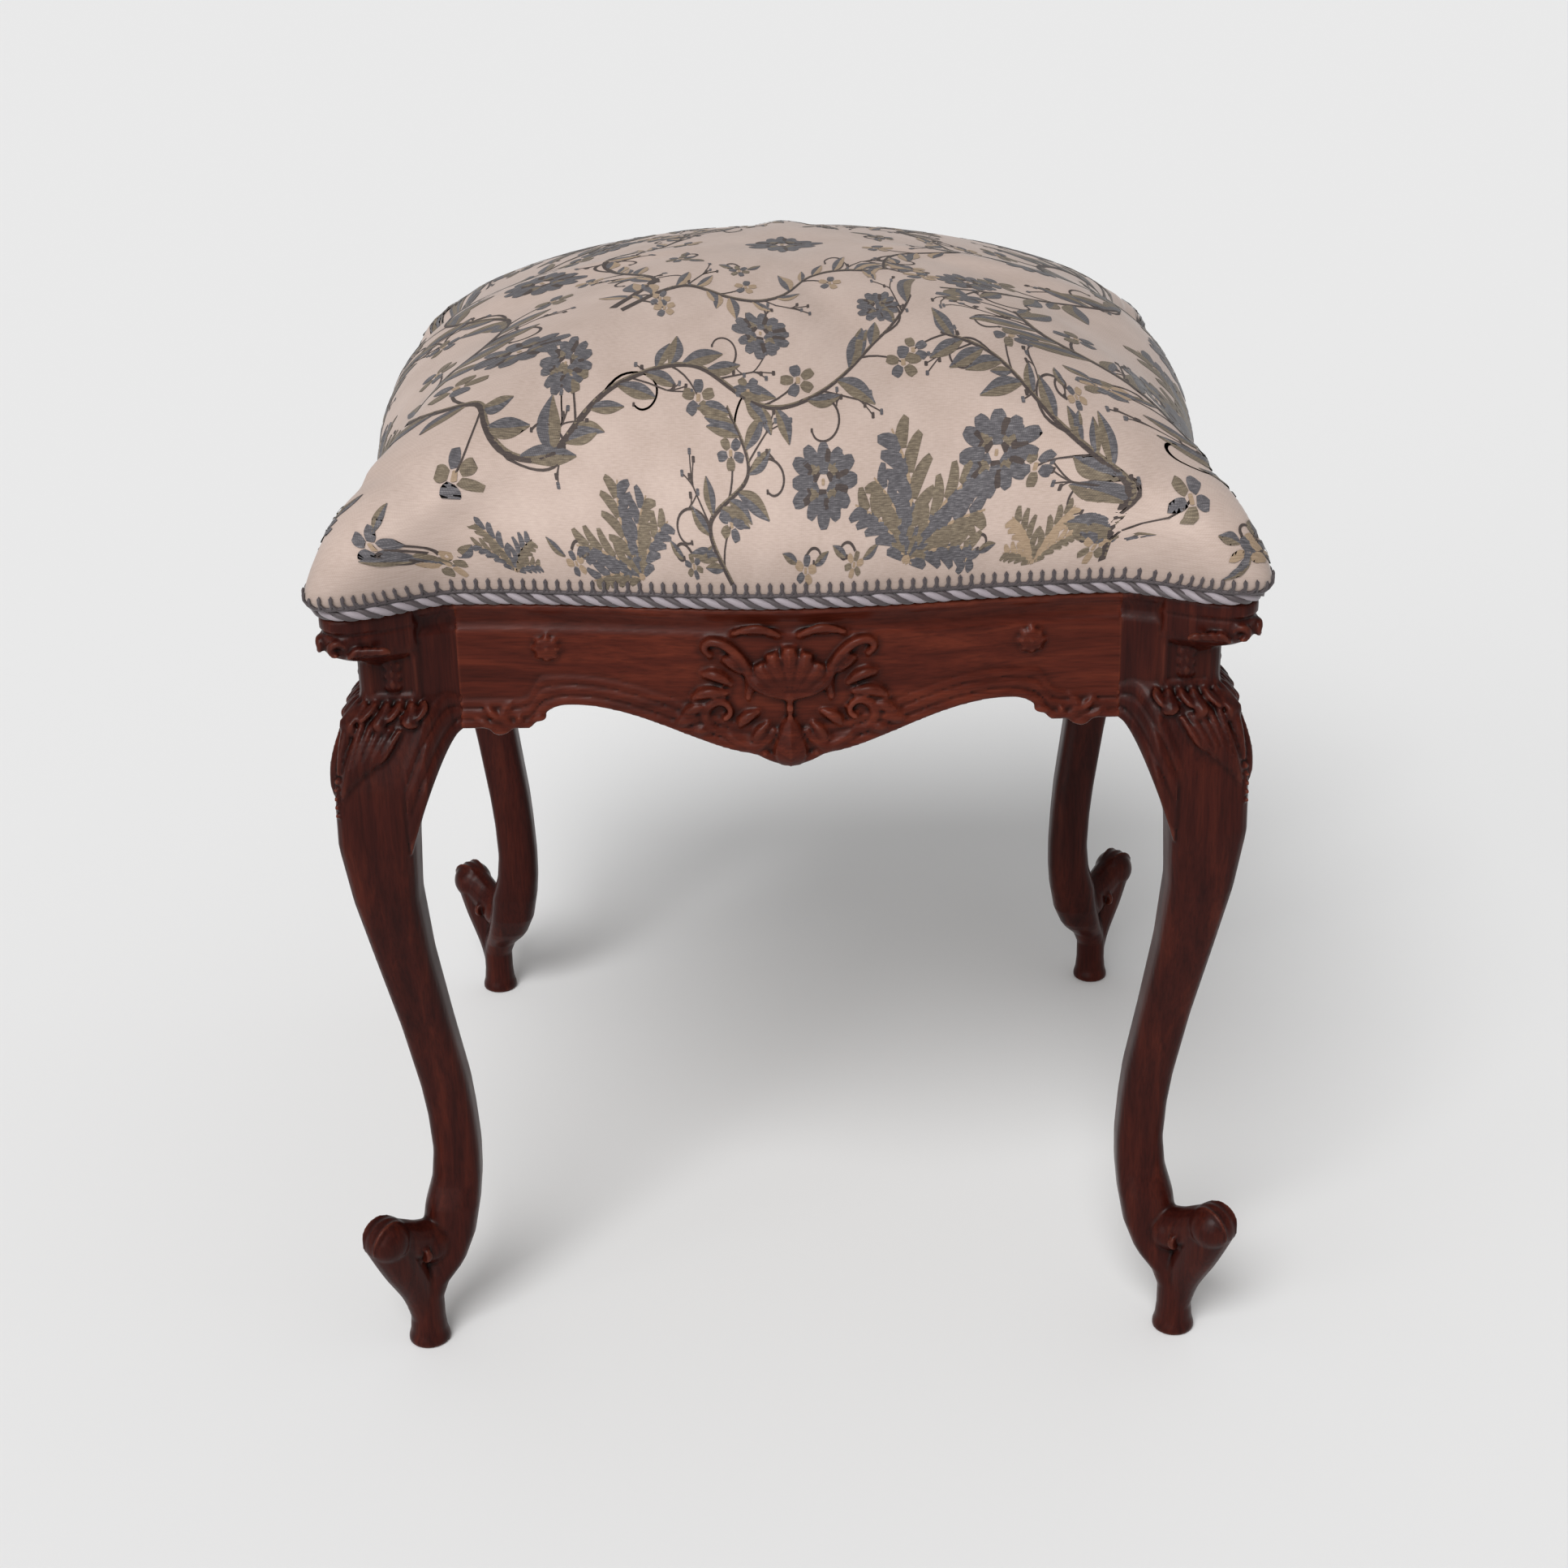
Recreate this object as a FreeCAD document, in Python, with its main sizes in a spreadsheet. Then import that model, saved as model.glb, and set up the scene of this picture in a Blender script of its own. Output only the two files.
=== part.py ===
import FreeCAD, Part
import Sketcher
import math
import os
from FreeCAD import Placement, Rotation, Vector

# Square upholstered stool: four cabriole legs, four serpentine rails, a webbed and domed seat.
# Millimetres, +Z up, origin on the floor at the centre between the feet, -Y is the front.

doc = FreeCAD.newDocument("Stool")
sheet = doc.addObject("Spreadsheet::Sheet", "Sizes")

drivingSizes = [
    ("leg_spacing", 380, "between the centres of two neighbouring feet"),
    ("peg_radius", 9, "round peg under each foot, at its waist"),
    ("peg_flare", 1.5, "how much wider the peg is at the floor"),
    ("peg_height", 34, "top of the peg inside the foot"),
    ("toe_reach", 23, "peg centre to scroll centre, along the diagonal"),
    ("toe_height", 64, "scroll centre above the floor"),
    ("toe_radius", 11.5, "radius of the scroll"),
    ("toe_width", 21, "width of the scroll"),
    ("shank_start", 24, "height at which the shank leaves the peg"),
    ("shank_half", 6.5, "half width of the shank there"),
    ("heel_height", 74, "height of the heel of the curve"),
    ("heel_inset", 29, "inner face inside the peg centre at the heel"),
    ("instep_height", 44, "height of the instep"),
    ("instep_inset", 20.4, "inner face inside the peg centre at the instep"),
    ("ankle_height", 104, "height of the thinnest place"),
    ("ankle_inset", 30.7, "inner face inside the peg centre at the ankle"),
    ("ankle_width", 23.5, "width of the leg at the ankle"),
    ("calf_height", 180, "height half way up the curve"),
    ("calf_inset", 22.5, "inner face inside the peg centre at the calf"),
    ("calf_width", 24.3, "width of the leg at the calf"),
    ("shin_height", 248, "height of the shin"),
    ("shin_inset", 14.4, "inner face inside the peg centre at the shin"),
    ("shin_width", 29.6, "width of the leg at the shin"),
    ("knee_height", 294, "height of the fullest place"),
    ("knee_inset", 16.2, "inner face inside the peg centre at the knee"),
    ("knee_width", 37.2, "width of the leg at the knee"),
    ("knee_top_height", 344, "where the knee ends under the recessed post"),
    ("knee_top_reach", 14, "outer face outside the peg centre there"),
    ("post_reach", 5.5, "outer face of the recessed post outside the peg centre"),
    ("post_foot_height", 352, "where the recessed post starts above the knee"),
    ("post_inset", 40, "inner face of the post inside the peg centre"),
    ("bracket_depth", 60.5, "ledge to the underside of the rail where it meets the leg"),
    ("ear_reach", 20.4, "outer face of the corner ear outside the peg centre"),
    ("ear_bottom", 378, "underside of the corner ear"),
    ("ear_cove", 9, "height of the cove under the ear"),
    ("corner_radius", 12, "rounding of the ear's corner in plan"),
    ("notch_reach", 1, "rail face outside the peg centre where rail and post meet"),
    ("rail_bulge", 14, "swell of the rail at mid side beyond its ends"),
    ("rail_lean", 5, "how far the lower edge of the rail leans in"),
    ("show_wood_top", 398, "height of the visible ledge that carries the cord"),
    ("tacking_height", 12, "tacking strip above the ledge"),
    ("tacking_setback", 4.2, "tacking strip behind the show face"),
    ("rail_thickness", 22, "rail at its ends"),
    ("pendant_depth", 77.5, "ledge to the tip of the carved drop"),
    ("pendant_round", 2, "how far the drop rises half way to its shoulders"),
    ("shoulder_depth", 71.5, "ledge to the shoulders beside the drop"),
    ("shoulder_place", 16, "mid side to the shoulders"),
    ("arch_depth", 48.5, "ledge to the top of the arch"),
    ("arch_place", 99, "mid side to the top of the arch"),
    ("step_place", 119, "mid side to the small scroll step"),
    ("step_width", 5, "width of that step, and the fall of the arch before it"),
    ("moulding_width", 10, "moulding that follows the lower edge"),
    ("moulding_rise", 1.8, "how proud the moulding stands"),
    ("tenon_length", 24, "tenon into the post"),
    ("tenon_thickness", 10, "thickness of the tenon"),
    ("tenon_height", 40, "height of the tenon"),
    ("tenon_bottom", 346, "underside of the tenon"),
    ("mortise_gap", 0.1, "glue gap round the tenon"),
    ("joint_peg_radius", 3, "peg that locks a tenon"),
    ("joint_peg_length", 40, "length of that peg"),
    ("joint_peg_place", 12, "peg from the shoulder of the tenon"),
    ("lower_peg_height", 357, "height of the lower peg in each post"),
    ("upper_peg_height", 375, "height of the upper peg in each post"),
    ("block_length", 55, "corner block along each rail beyond the post"),
    ("block_height", 42, "height of the corner block"),
    ("block_bottom", 351, "underside of the corner block"),
    ("screw_radius", 2, "shank of the block screw"),
    ("screw_length", 34, "length under the head"),
    ("screw_head_radius", 4, "head of the block screw"),
    ("screw_head_height", 2.2, "height of the head"),
    ("screw_seat", 17, "wood between the head and the rail"),
    ("screw_place", 32, "screw from the post along the rail"),
    ("strap_width", 60, "width of a webbing strap"),
    ("strap_pitch", 80, "between the centres of two straps"),
    ("strap_thickness", 1.5, "thickness of the webbing"),
    ("strap_margin", 8.7, "strap end behind the face of the rail"),
    ("webbing_tack_radius", 0.9, "shank of a webbing tack"),
    ("webbing_tack_length", 12, "length of a webbing tack"),
    ("webbing_tack_head", 3, "head radius of a webbing tack"),
    ("webbing_tack_pitch", 20, "between two tacks across a strap"),
    ("tack_head_height", 0.7, "head height of a tack"),
    ("hessian_thickness", 0.8, "base cloth over the webbing"),
    ("hessian_margin", 7, "edge of the base cloth behind the show face"),
    ("cover_thickness", 1.5, "woven cover"),
    ("lining_thickness", 0.8, "calico lining under the cover"),
    ("wadding_thickness", 8, "cotton wadding under the lining"),
    ("top_stuffing_thickness", 18, "hair between scrim and wadding"),
    ("scrim_thickness", 0.8, "scrim over the first stuffing"),
    ("soft_clearance", 0.3, "slack between wadding and lining"),
    ("rim_height", 9.4, "upright edge of the cover above the ledge"),
    ("rim_clearance", 0.2, "lining outside the tacking strip"),
    ("seat_swell", 4.8, "how far the seat overhangs the ear of the frame"),
    ("seat_overhang", 2.5, "how far the seat overhangs the rail at mid side"),
    ("seat_rise", 118.4, "crown of the seat above the foot of the cover"),
    ("cover_foot", 0.6, "foot of the cover above the ledge"),
    ("cover_tack_radius", 0.8, "shank of a cover tack"),
    ("cover_tack_length", 11, "length of a cover tack"),
    ("cover_tack_head", 2.2, "head radius of a cover tack"),
    ("cover_tack_height", 3.4, "cover tacks above the ledge"),
    ("cover_tack_pitch", 48, "between two cover tacks"),
    ("tack_sink", 0.1, "how deep a cover tack is driven below the cloth"),
    ("cord_size", 5.2, "height of the twisted cord"),
    ("cord_depth", 3.6, "how proud the cord stands from the cover"),
    ("heading_height", 3.9, "height of the looped heading above the cord"),
    ("heading_thickness", 0.9, "thickness of the heading"),
    ("trim_clearance", 0.15, "glue line behind cord and heading"),
]

for row, (alias, value, meaning) in enumerate(drivingSizes, 1):
    sheet.set("A%d" % row, meaning)
    sheet.set("B%d" % row, str(value))
    sheet.setAlias("B%d" % row, alias)
doc.recompute()


def size(alias):
    return float(sheet.get(alias))


# Places that several pieces share
footHalf = size("leg_spacing") / 2
showHalf = footHalf + size("ear_reach")
notchHalf = footHalf + size("notch_reach")
postInner = footHalf - size("post_inset")
railInner = notchHalf - size("rail_thickness")
showTop = size("show_wood_top")
tackingTop = showTop + size("tacking_height")
tenonCentre = (railInner + notchHalf) / 2
hessianBottom = tackingTop + 2 * size("strap_thickness")
hessianTop = hessianBottom + size("hessian_thickness")
farOut = 2 * showHalf
sides = ["front", "right", "back", "left"]
corners = ["back_right", "back_left", "front_left", "front_right"]


def quarterTurn(turns):
    return Placement(Vector(0, 0, 0), Rotation(Vector(0, 0, 1), 90 * turns))


pieces = []


def addPiece(name, shape, placement=None):
    piece = doc.addObject("Part::Feature", name)
    piece.Label = name
    piece.Shape = shape
    piece.Placement = placement if placement else Placement()
    pieces.append(piece)


def addGroup(name, members):
    group = doc.addObject("Part::Compound", name)
    group.Label = name
    group.Links = members
    pieces.append(group)


def boxBetween(low, high):
    return Part.makeBox(high[0] - low[0], high[1] - low[1], high[2] - low[2], Vector(*low))


def splineThrough(points):
    curve = Part.BSplineCurve()
    curve.interpolate(Points=points)
    return curve.toShape()


# Plan of the stool: ears at the corners, a notch beside each, a serpentine swell between.
# Each quarter runs from mid side to mid side, with its points on rays at these angles and their mirror.
planAngles = [0, 7, 14, 20, 26, 31, 35, 38, 40.5, 42.5, 44, 45]
notchShare = 0.71
notchInsideCorner = 0.9
archFullness = 1.5


def sideReach(x, half, notch, middle, notchPlace, cornerPlace):
    if x < notchPlace:
        return notch + (middle - notch) * (1 + math.cos(math.pi * x / notchPlace)) / 2
    share = (x - notchPlace) / (cornerPlace - notchPlace)
    return notch + (half - notch) * share * share * (3 - 2 * share)


def planPoint(degrees, half, notch, middle, radius, z):
    slope = math.tan(math.radians(degrees))
    cornerPlace = half - radius
    if slope * half < cornerPlace:
        side = (half, notch, middle, min(notchShare * half, notchInsideCorner * cornerPlace), cornerPlace)
        low, high = 0, cornerPlace
        for halving in range(40):
            x = (low + high) / 2
            if x < slope * sideReach(x, *side):
                low = x
            else:
                high = x
        return Vector(x, -sideReach(x, *side), z)
    sine = math.sin(math.radians(degrees))
    cosine = math.cos(math.radians(degrees))
    reach = cornerPlace * (cosine + sine) + math.sqrt(radius ** 2 - (cornerPlace * (cosine - sine)) ** 2)
    return Vector(reach * sine, -reach * cosine, z)


def planQuadrant(*plan):
    points = [planPoint(degrees, *plan) for degrees in planAngles]
    return points + [Vector(-point.y, -point.x, point.z) for point in reversed(points[:-1])]


def runLengths(points):
    lengths = [0]
    for first, second in zip(points, points[1:]):
        lengths.append(lengths[-1] + first.distanceToPoint(second))
    return lengths


def curveThrough(points, places):
    curve = Part.BSplineCurve()
    curve.interpolate(Points=points, Parameters=places)
    return curve


def turned(shape, turns):
    return shape.rotated(Vector(0, 0, 0), Vector(0, 0, 1), 90 * turns)


def planWire(*plan):
    points = planQuadrant(*plan)
    quadrant = curveThrough(points, runLengths(points)).toShape()
    return Part.Wire([turned(quadrant, turn) for turn in range(4)])


def showPlan(inset, z, lean=0):
    scale = (showHalf - inset) / showHalf
    return [showHalf * scale, (notchHalf - lean / 2) * scale,
            (notchHalf + size("rail_bulge") - lean) * scale, size("corner_radius") * scale, z]


def showWire(inset, z, lean=0):
    return planWire(*showPlan(inset, z, lean))


def prismOf(wire, height):
    return Part.Face(wire).extrude(Vector(0, 0, height))


tackingPlan = prismOf(showWire(size("tacking_setback"), showTop), size("tacking_height"))


# Webbing tack: a round shank with a flat head, standing on top of a rail
def tackShape(shankRadius, length, headRadius):
    shank = Part.makeCone(shankRadius / 3, shankRadius, length, Vector(0, 0, -length))
    head = Part.makeCylinder(headRadius, size("tack_head_height"))
    return shank.fuse(head)


strapCount = 4
tacksPerEnd = 3
strapPlaces = [size("strap_pitch") * (index - (strapCount - 1) / 2) for index in range(strapCount)]
strapEnd = notchHalf - size("strap_margin")
tackRow = (railInner + strapEnd) / 2
webbingTack = tackShape(size("webbing_tack_radius"), size("webbing_tack_length"), size("webbing_tack_head"))
sideTackPlaces = [place + size("webbing_tack_pitch") * (index - (tacksPerEnd - 1) / 2)
                  for place in strapPlaces for index in range(tacksPerEnd)]
sideWebbingTacks = []
for place in sideTackPlaces:
    tack = webbingTack.copy()
    tack.translate(Vector(place, -tackRow, tackingTop + size("strap_thickness")))
    sideWebbingTacks.append(tack)


coverInset = (size("tacking_setback") - size("rim_clearance") - size("lining_thickness")
              - size("cover_thickness"))


# Cover tack: driven square to the edge through cover and lining into the tacking strip
def coverTackShape(place):
    side = showPlan(coverInset, 0)[:3] + [notchShare * showHalf, showHalf - size("corner_radius")]
    reach = sideReach(abs(place), *side)
    step = size("cover_tack_radius")
    slope = (sideReach(abs(place) + step, *side) - reach) / step
    lean = math.degrees(math.atan(slope)) * (1 if place > 0 else -1)
    tack = tackShape(size("cover_tack_radius"), size("cover_tack_length"), size("cover_tack_head"))
    tack.translate(Vector(0, 0, -size("tack_head_height") - size("tack_sink")))
    tack.rotate(Vector(0, 0, 0), Vector(1, 0, 0), 90)
    tack.rotate(Vector(0, 0, 0), Vector(0, 0, 1), -lean)
    tack.translate(Vector(place, -reach, showTop + size("cover_tack_height")))
    return tack


coverTacksEachWay = int((showHalf - 2 * size("corner_radius")) // size("cover_tack_pitch") + 0.5)
sideCoverTacks = [coverTackShape(sign * (index + 0.5) * size("cover_tack_pitch"))
                  for sign in (-1, 1) for index in range(coverTacksEachWay + 1)]


# Leg: an S curve sawn from two faces of a square blank, with a scroll foot on a round peg
def legProfile():
    knee = size("knee_height")
    inner = [Vector(-size("shank_half"), 0, size("shank_start")),
             Vector(-size("instep_inset"), 0, size("instep_height")),
             Vector(-size("heel_inset"), 0, size("heel_height")),
             Vector(-size("ankle_inset"), 0, size("ankle_height")),
             Vector(-size("calf_inset"), 0, size("calf_height")),
             Vector(-size("shin_inset"), 0, size("shin_height")),
             Vector(-size("knee_inset"), 0, knee)]
    outer = [Vector(size("shank_half"), 0, size("shank_start")),
             Vector(size("ankle_width") - size("ankle_inset"), 0, size("ankle_height")),
             Vector(size("calf_width") - size("calf_inset"), 0, size("calf_height")),
             Vector(size("shin_width") - size("shin_inset"), 0, size("shin_height")),
             Vector(size("knee_width") - size("knee_inset"), 0, knee),
             Vector(size("knee_top_reach"), 0, size("knee_top_height"))]
    corner = Vector(-size("post_inset"), 0, showTop - size("bracket_depth"))
    bend = Vector(inner[-1].x + (corner.x - inner[-1].x) * (1 - math.sqrt(0.5)), 0,
                  knee + (corner.z - knee) * math.sqrt(0.5))
    postFace = Vector(size("post_reach"), 0, size("post_foot_height"))
    postTop = Vector(size("post_reach"), 0, showTop)
    innerTop = Vector(-size("post_inset"), 0, showTop)
    edges = [splineThrough(inner),
             Part.Arc(inner[-1], bend, corner).toShape(),
             Part.makeLine(corner, innerTop),
             Part.makeLine(innerTop, postTop),
             Part.makeLine(postTop, postFace),
             Part.makeLine(postFace, outer[-1]),
             splineThrough(outer[::-1]),
             Part.makeLine(outer[0], inner[0])]
    return Part.Face(Part.Wire(Part.sortEdges(edges)[0]))


# Toe: a scroll turned outward on the diagonal, rounded in plan, its underside running to the peg
def toeShape():
    radius = size("toe_radius")
    reach = size("toe_reach")
    height = size("toe_height")
    halfWidth = size("toe_width") / 2
    rootLow = Vector(size("shank_half"), 0, size("shank_start"))
    toCentre = Vector(reach, 0, height) - rootLow
    direction = math.atan2(toCentre.z, toCentre.x) - math.asin(radius / toCentre.Length)
    run = math.sqrt(toCentre.Length ** 2 - radius ** 2)
    touch = rootLow + Vector(math.cos(direction), 0, math.sin(direction)) * run
    crest = Vector(reach, 0, height + radius)
    front = Vector(reach + radius * math.sqrt(0.5), 0, height + radius * math.sqrt(0.5))
    valley = Vector(-size("shank_half"), 0, height)
    rootBack = Vector(-size("peg_radius"), 0, size("instep_height"))
    rootBase = Vector(-size("shank_half"), 0, size("shank_start"))
    edges = [Part.makeLine(rootLow, touch),
             Part.Arc(touch, front, crest).toShape(),
             Part.makeLine(crest, valley),
             Part.makeLine(valley, rootBack),
             Part.makeLine(rootBack, rootBase),
             Part.makeLine(rootBase, rootLow)]
    body = Part.Face(Part.Wire(edges)).extrude(Vector(0, 2 * halfWidth, 0))
    body.translate(Vector(0, -halfWidth, 0))
    tip = reach + radius - halfWidth
    rounded = boxBetween((-reach, -halfWidth, 0), (tip, halfWidth, height + 2 * radius))
    rounded = rounded.fuse(Part.makeCylinder(halfWidth, height + 2 * radius, Vector(tip, 0, 0)))
    body = body.common(rounded)
    body.rotate(Vector(0, 0, 0), Vector(0, 0, 1), 45)
    return body


def pegShape():
    waist = size("peg_radius")
    floorRadius = waist + size("peg_flare")
    foot = size("peg_flare")
    outline = [Vector(0, 0, 0), Vector(floorRadius - foot / 2, 0, 0), Vector(floorRadius, 0, foot),
               Vector(floorRadius, 0, 2 * foot), Vector(waist, 0, 4 * foot),
               Vector(waist, 0, size("peg_height")), Vector(0, 0, size("peg_height")), Vector(0, 0, 0)]
    return Part.Face(Part.makePolygon(outline)).revolve(Vector(0, 0, 0), Vector(0, 0, 1), 360)


def jointPegShape(along, height):
    start = Vector(postInner, postInner + size("joint_peg_place"), height)
    direction = Vector(1, 0, 0)
    if along == "y":
        start = Vector(postInner + size("joint_peg_place"), postInner, height)
        direction = Vector(0, 1, 0)
    return Part.makeCylinder(size("joint_peg_radius"), size("joint_peg_length"), start, direction)


def cornerPegs():
    return [jointPegShape("y", size("lower_peg_height")), jointPegShape("x", size("upper_peg_height"))]


def legShape():
    reach = size("post_inset") + size("ear_reach") + size("knee_width")
    blank = legProfile().extrude(Vector(0, 2 * reach, 0))
    blank.translate(Vector(0, -reach, 0))
    crossed = blank.copy()
    crossed.rotate(Vector(0, 0, 0), Vector(0, 0, 1), -90)
    crossed = crossed.mirror(Vector(0, 0, 0), Vector(0, 1, 0))
    leg = blank.common(crossed).fuse([pegShape(), toeShape()])
    leg.translate(Vector(footHalf, footHalf, 0))
    cornerBox = boxBetween((postInner, postInner, 0), (farOut, farOut, tackingTop))
    coveBottom = size("ear_bottom") - size("ear_cove")
    coveInset = size("ear_reach") - size("post_reach")
    cove = Part.makeLoft([showWire(coveInset, coveBottom), showWire(0, size("ear_bottom"))], True, True)
    ear = prismOf(showWire(0, size("ear_bottom")), showTop - size("ear_bottom"))
    leg = leg.fuse([cove.common(cornerBox), ear.common(cornerBox), tackingPlan.common(cornerBox)])
    gap = size("mortise_gap")
    low = (postInner, tenonCentre - size("tenon_thickness") / 2 - gap, size("tenon_bottom") - gap)
    high = (postInner + size("tenon_length") + gap, tenonCentre + size("tenon_thickness") / 2 + gap,
            size("tenon_bottom") + size("tenon_height") + gap)
    mortises = [boxBetween(low, high), boxBetween((low[1], low[0], low[2]), (high[1], high[0], high[2]))]
    return leg.cut(mortises + cornerPegs())


# Rail: bowed plank with a carved serpentine lower edge, a tacking strip on top and two tenons
def mirroredSpline(points):
    return splineThrough([Vector(-point.x, 0, point.z) for point in points[:0:-1]] + points)


def lowerEdge(offset):
    def edgePoint(place, depth):
        return Vector(place, 0, showTop - depth + offset)

    shoulder = edgePoint(size("shoulder_place"), size("shoulder_depth"))
    drop = edgePoint(size("shoulder_place") / 2, size("pendant_depth") - size("pendant_round"))
    pendant = [edgePoint(0, size("pendant_depth")), drop, shoulder]
    arch = []
    for share in (0, 0.2, 0.4, 0.6, 0.8, 1):
        rise = math.sin(math.pi / 2 * share) ** archFullness
        arch.append(edgePoint(size("shoulder_place") + share * (size("arch_place") - size("shoulder_place")),
                              size("shoulder_depth") + rise * (size("arch_depth") - size("shoulder_depth"))))
    arch.append(edgePoint(size("step_place") - size("step_width"), size("arch_depth") + size("step_width")))
    step = [arch[-1], edgePoint(size("step_place"), size("bracket_depth")),
            edgePoint(postInner, size("bracket_depth"))]
    edges = [mirroredSpline(pendant)]
    for sign in (1, -1):
        edges.append(splineThrough([Vector(sign * point.x, 0, point.z) for point in arch]))
        ends = [Vector(sign * point.x, 0, point.z) for point in step]
        edges += [Part.makeLine(first, second) for first, second in zip(ends, ends[1:])]
    return edges, step[-1]


def bandAbove(offset):
    edges, end = lowerEdge(offset)
    top = tackingTop + size("tacking_height")
    left = Vector(-end.x, 0, end.z)
    edges += [Part.makeLine(end, Vector(end.x, 0, top)),
              Part.makeLine(Vector(end.x, 0, top), Vector(-end.x, 0, top)),
              Part.makeLine(Vector(-end.x, 0, top), left)]
    return Part.Face(Part.Wire(Part.sortEdges(edges)[0])).extrude(Vector(0, -farOut, 0))


def railShape():
    bottom = showTop - size("pendant_depth") - size("moulding_width")
    lean = size("rail_lean")
    front = boxBetween((-postInner, -farOut, bottom), (postInner, -railInner, tackingTop))
    board = Part.makeLoft([showWire(0, bottom, lean), showWire(0, showTop)], True, True).common(front)
    raised = Part.makeLoft([showWire(-size("moulding_rise"), bottom, lean),
                            showWire(-size("moulding_rise"), showTop)], True, True).common(front)
    above = bandAbove(0)
    moulding = raised.common(above).cut(bandAbove(size("moulding_width")))
    rail = board.common(above).fuse([moulding, tackingPlan.common(front)])
    tip = postInner + size("tenon_length")
    thickness = size("tenon_thickness")
    top = size("tenon_bottom") + size("tenon_height")
    tenon = boxBetween((postInner, -tenonCentre - thickness / 2, size("tenon_bottom")),
                       (tip, -tenonCentre + thickness / 2, top))
    mirrored = boxBetween((-tip, -tenonCentre - thickness / 2, size("tenon_bottom")),
                          (-postInner, -tenonCentre + thickness / 2, top))
    rail = rail.fuse([mirrored, tenon])
    holes = [tack.copy() for tack in sideWebbingTacks + sideCoverTacks]
    holes += [turned(hole, turn) for turn in (2, 3) for hole in cornerPegs()]
    screwPlace = postInner - size("screw_place")
    screwHeight = size("block_bottom") + size("block_height") / 2
    screwTip = size("screw_length") - size("screw_seat")
    for sign in (-1, 1):
        holes.append(Part.makeCylinder(size("screw_radius"), screwTip,
                                       Vector(sign * screwPlace, -railInner, screwHeight), Vector(0, -1, 0)))
    return rail.cut(holes)


legBase = legShape().removeSplitter()
legBase = legBase.cut([turned(tack, turn) for turn in (1, 2) for tack in sideCoverTacks])
for turn, corner in enumerate(corners):
    addPiece("leg_" + corner, legBase, quarterTurn(turn))

railBase = railShape()
for turn, side in enumerate(sides):
    addPiece("rail_" + side, railBase, quarterTurn(turn))


# Pegs that lock the tenons, one object for each, grouped in one node
def makeJointPegs():
    pegs = []
    for turn in range(4):
        for along, height in (("y", "lower_peg_height"), ("x", "upper_peg_height")):
            peg = doc.addObject("Part::Cylinder", "joint_peg_%s%d" % (along, turn))
            peg.setExpression("Radius", "Sizes.joint_peg_radius")
            peg.setExpression("Height", "Sizes.joint_peg_length")
            lying = Rotation(Vector(0, 0, 1), Vector(0, 1, 0) if along == "y" else Vector(1, 0, 0))
            start = Vector(postInner + size("joint_peg_place"), postInner, size(height))
            if along == "x":
                start = Vector(start.y, start.x, start.z)
            peg.Placement = quarterTurn(turn).multiply(Placement(start, lying))
            pegs.append(peg)
    addGroup("tenon_pegs", pegs)


# Corner block: a notched triangle behind each post, with two counterbored screw holes
def originPlane(body, role):
    return next(feature for feature in body.Origin.OriginFeatures if feature.Role == role)


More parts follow.
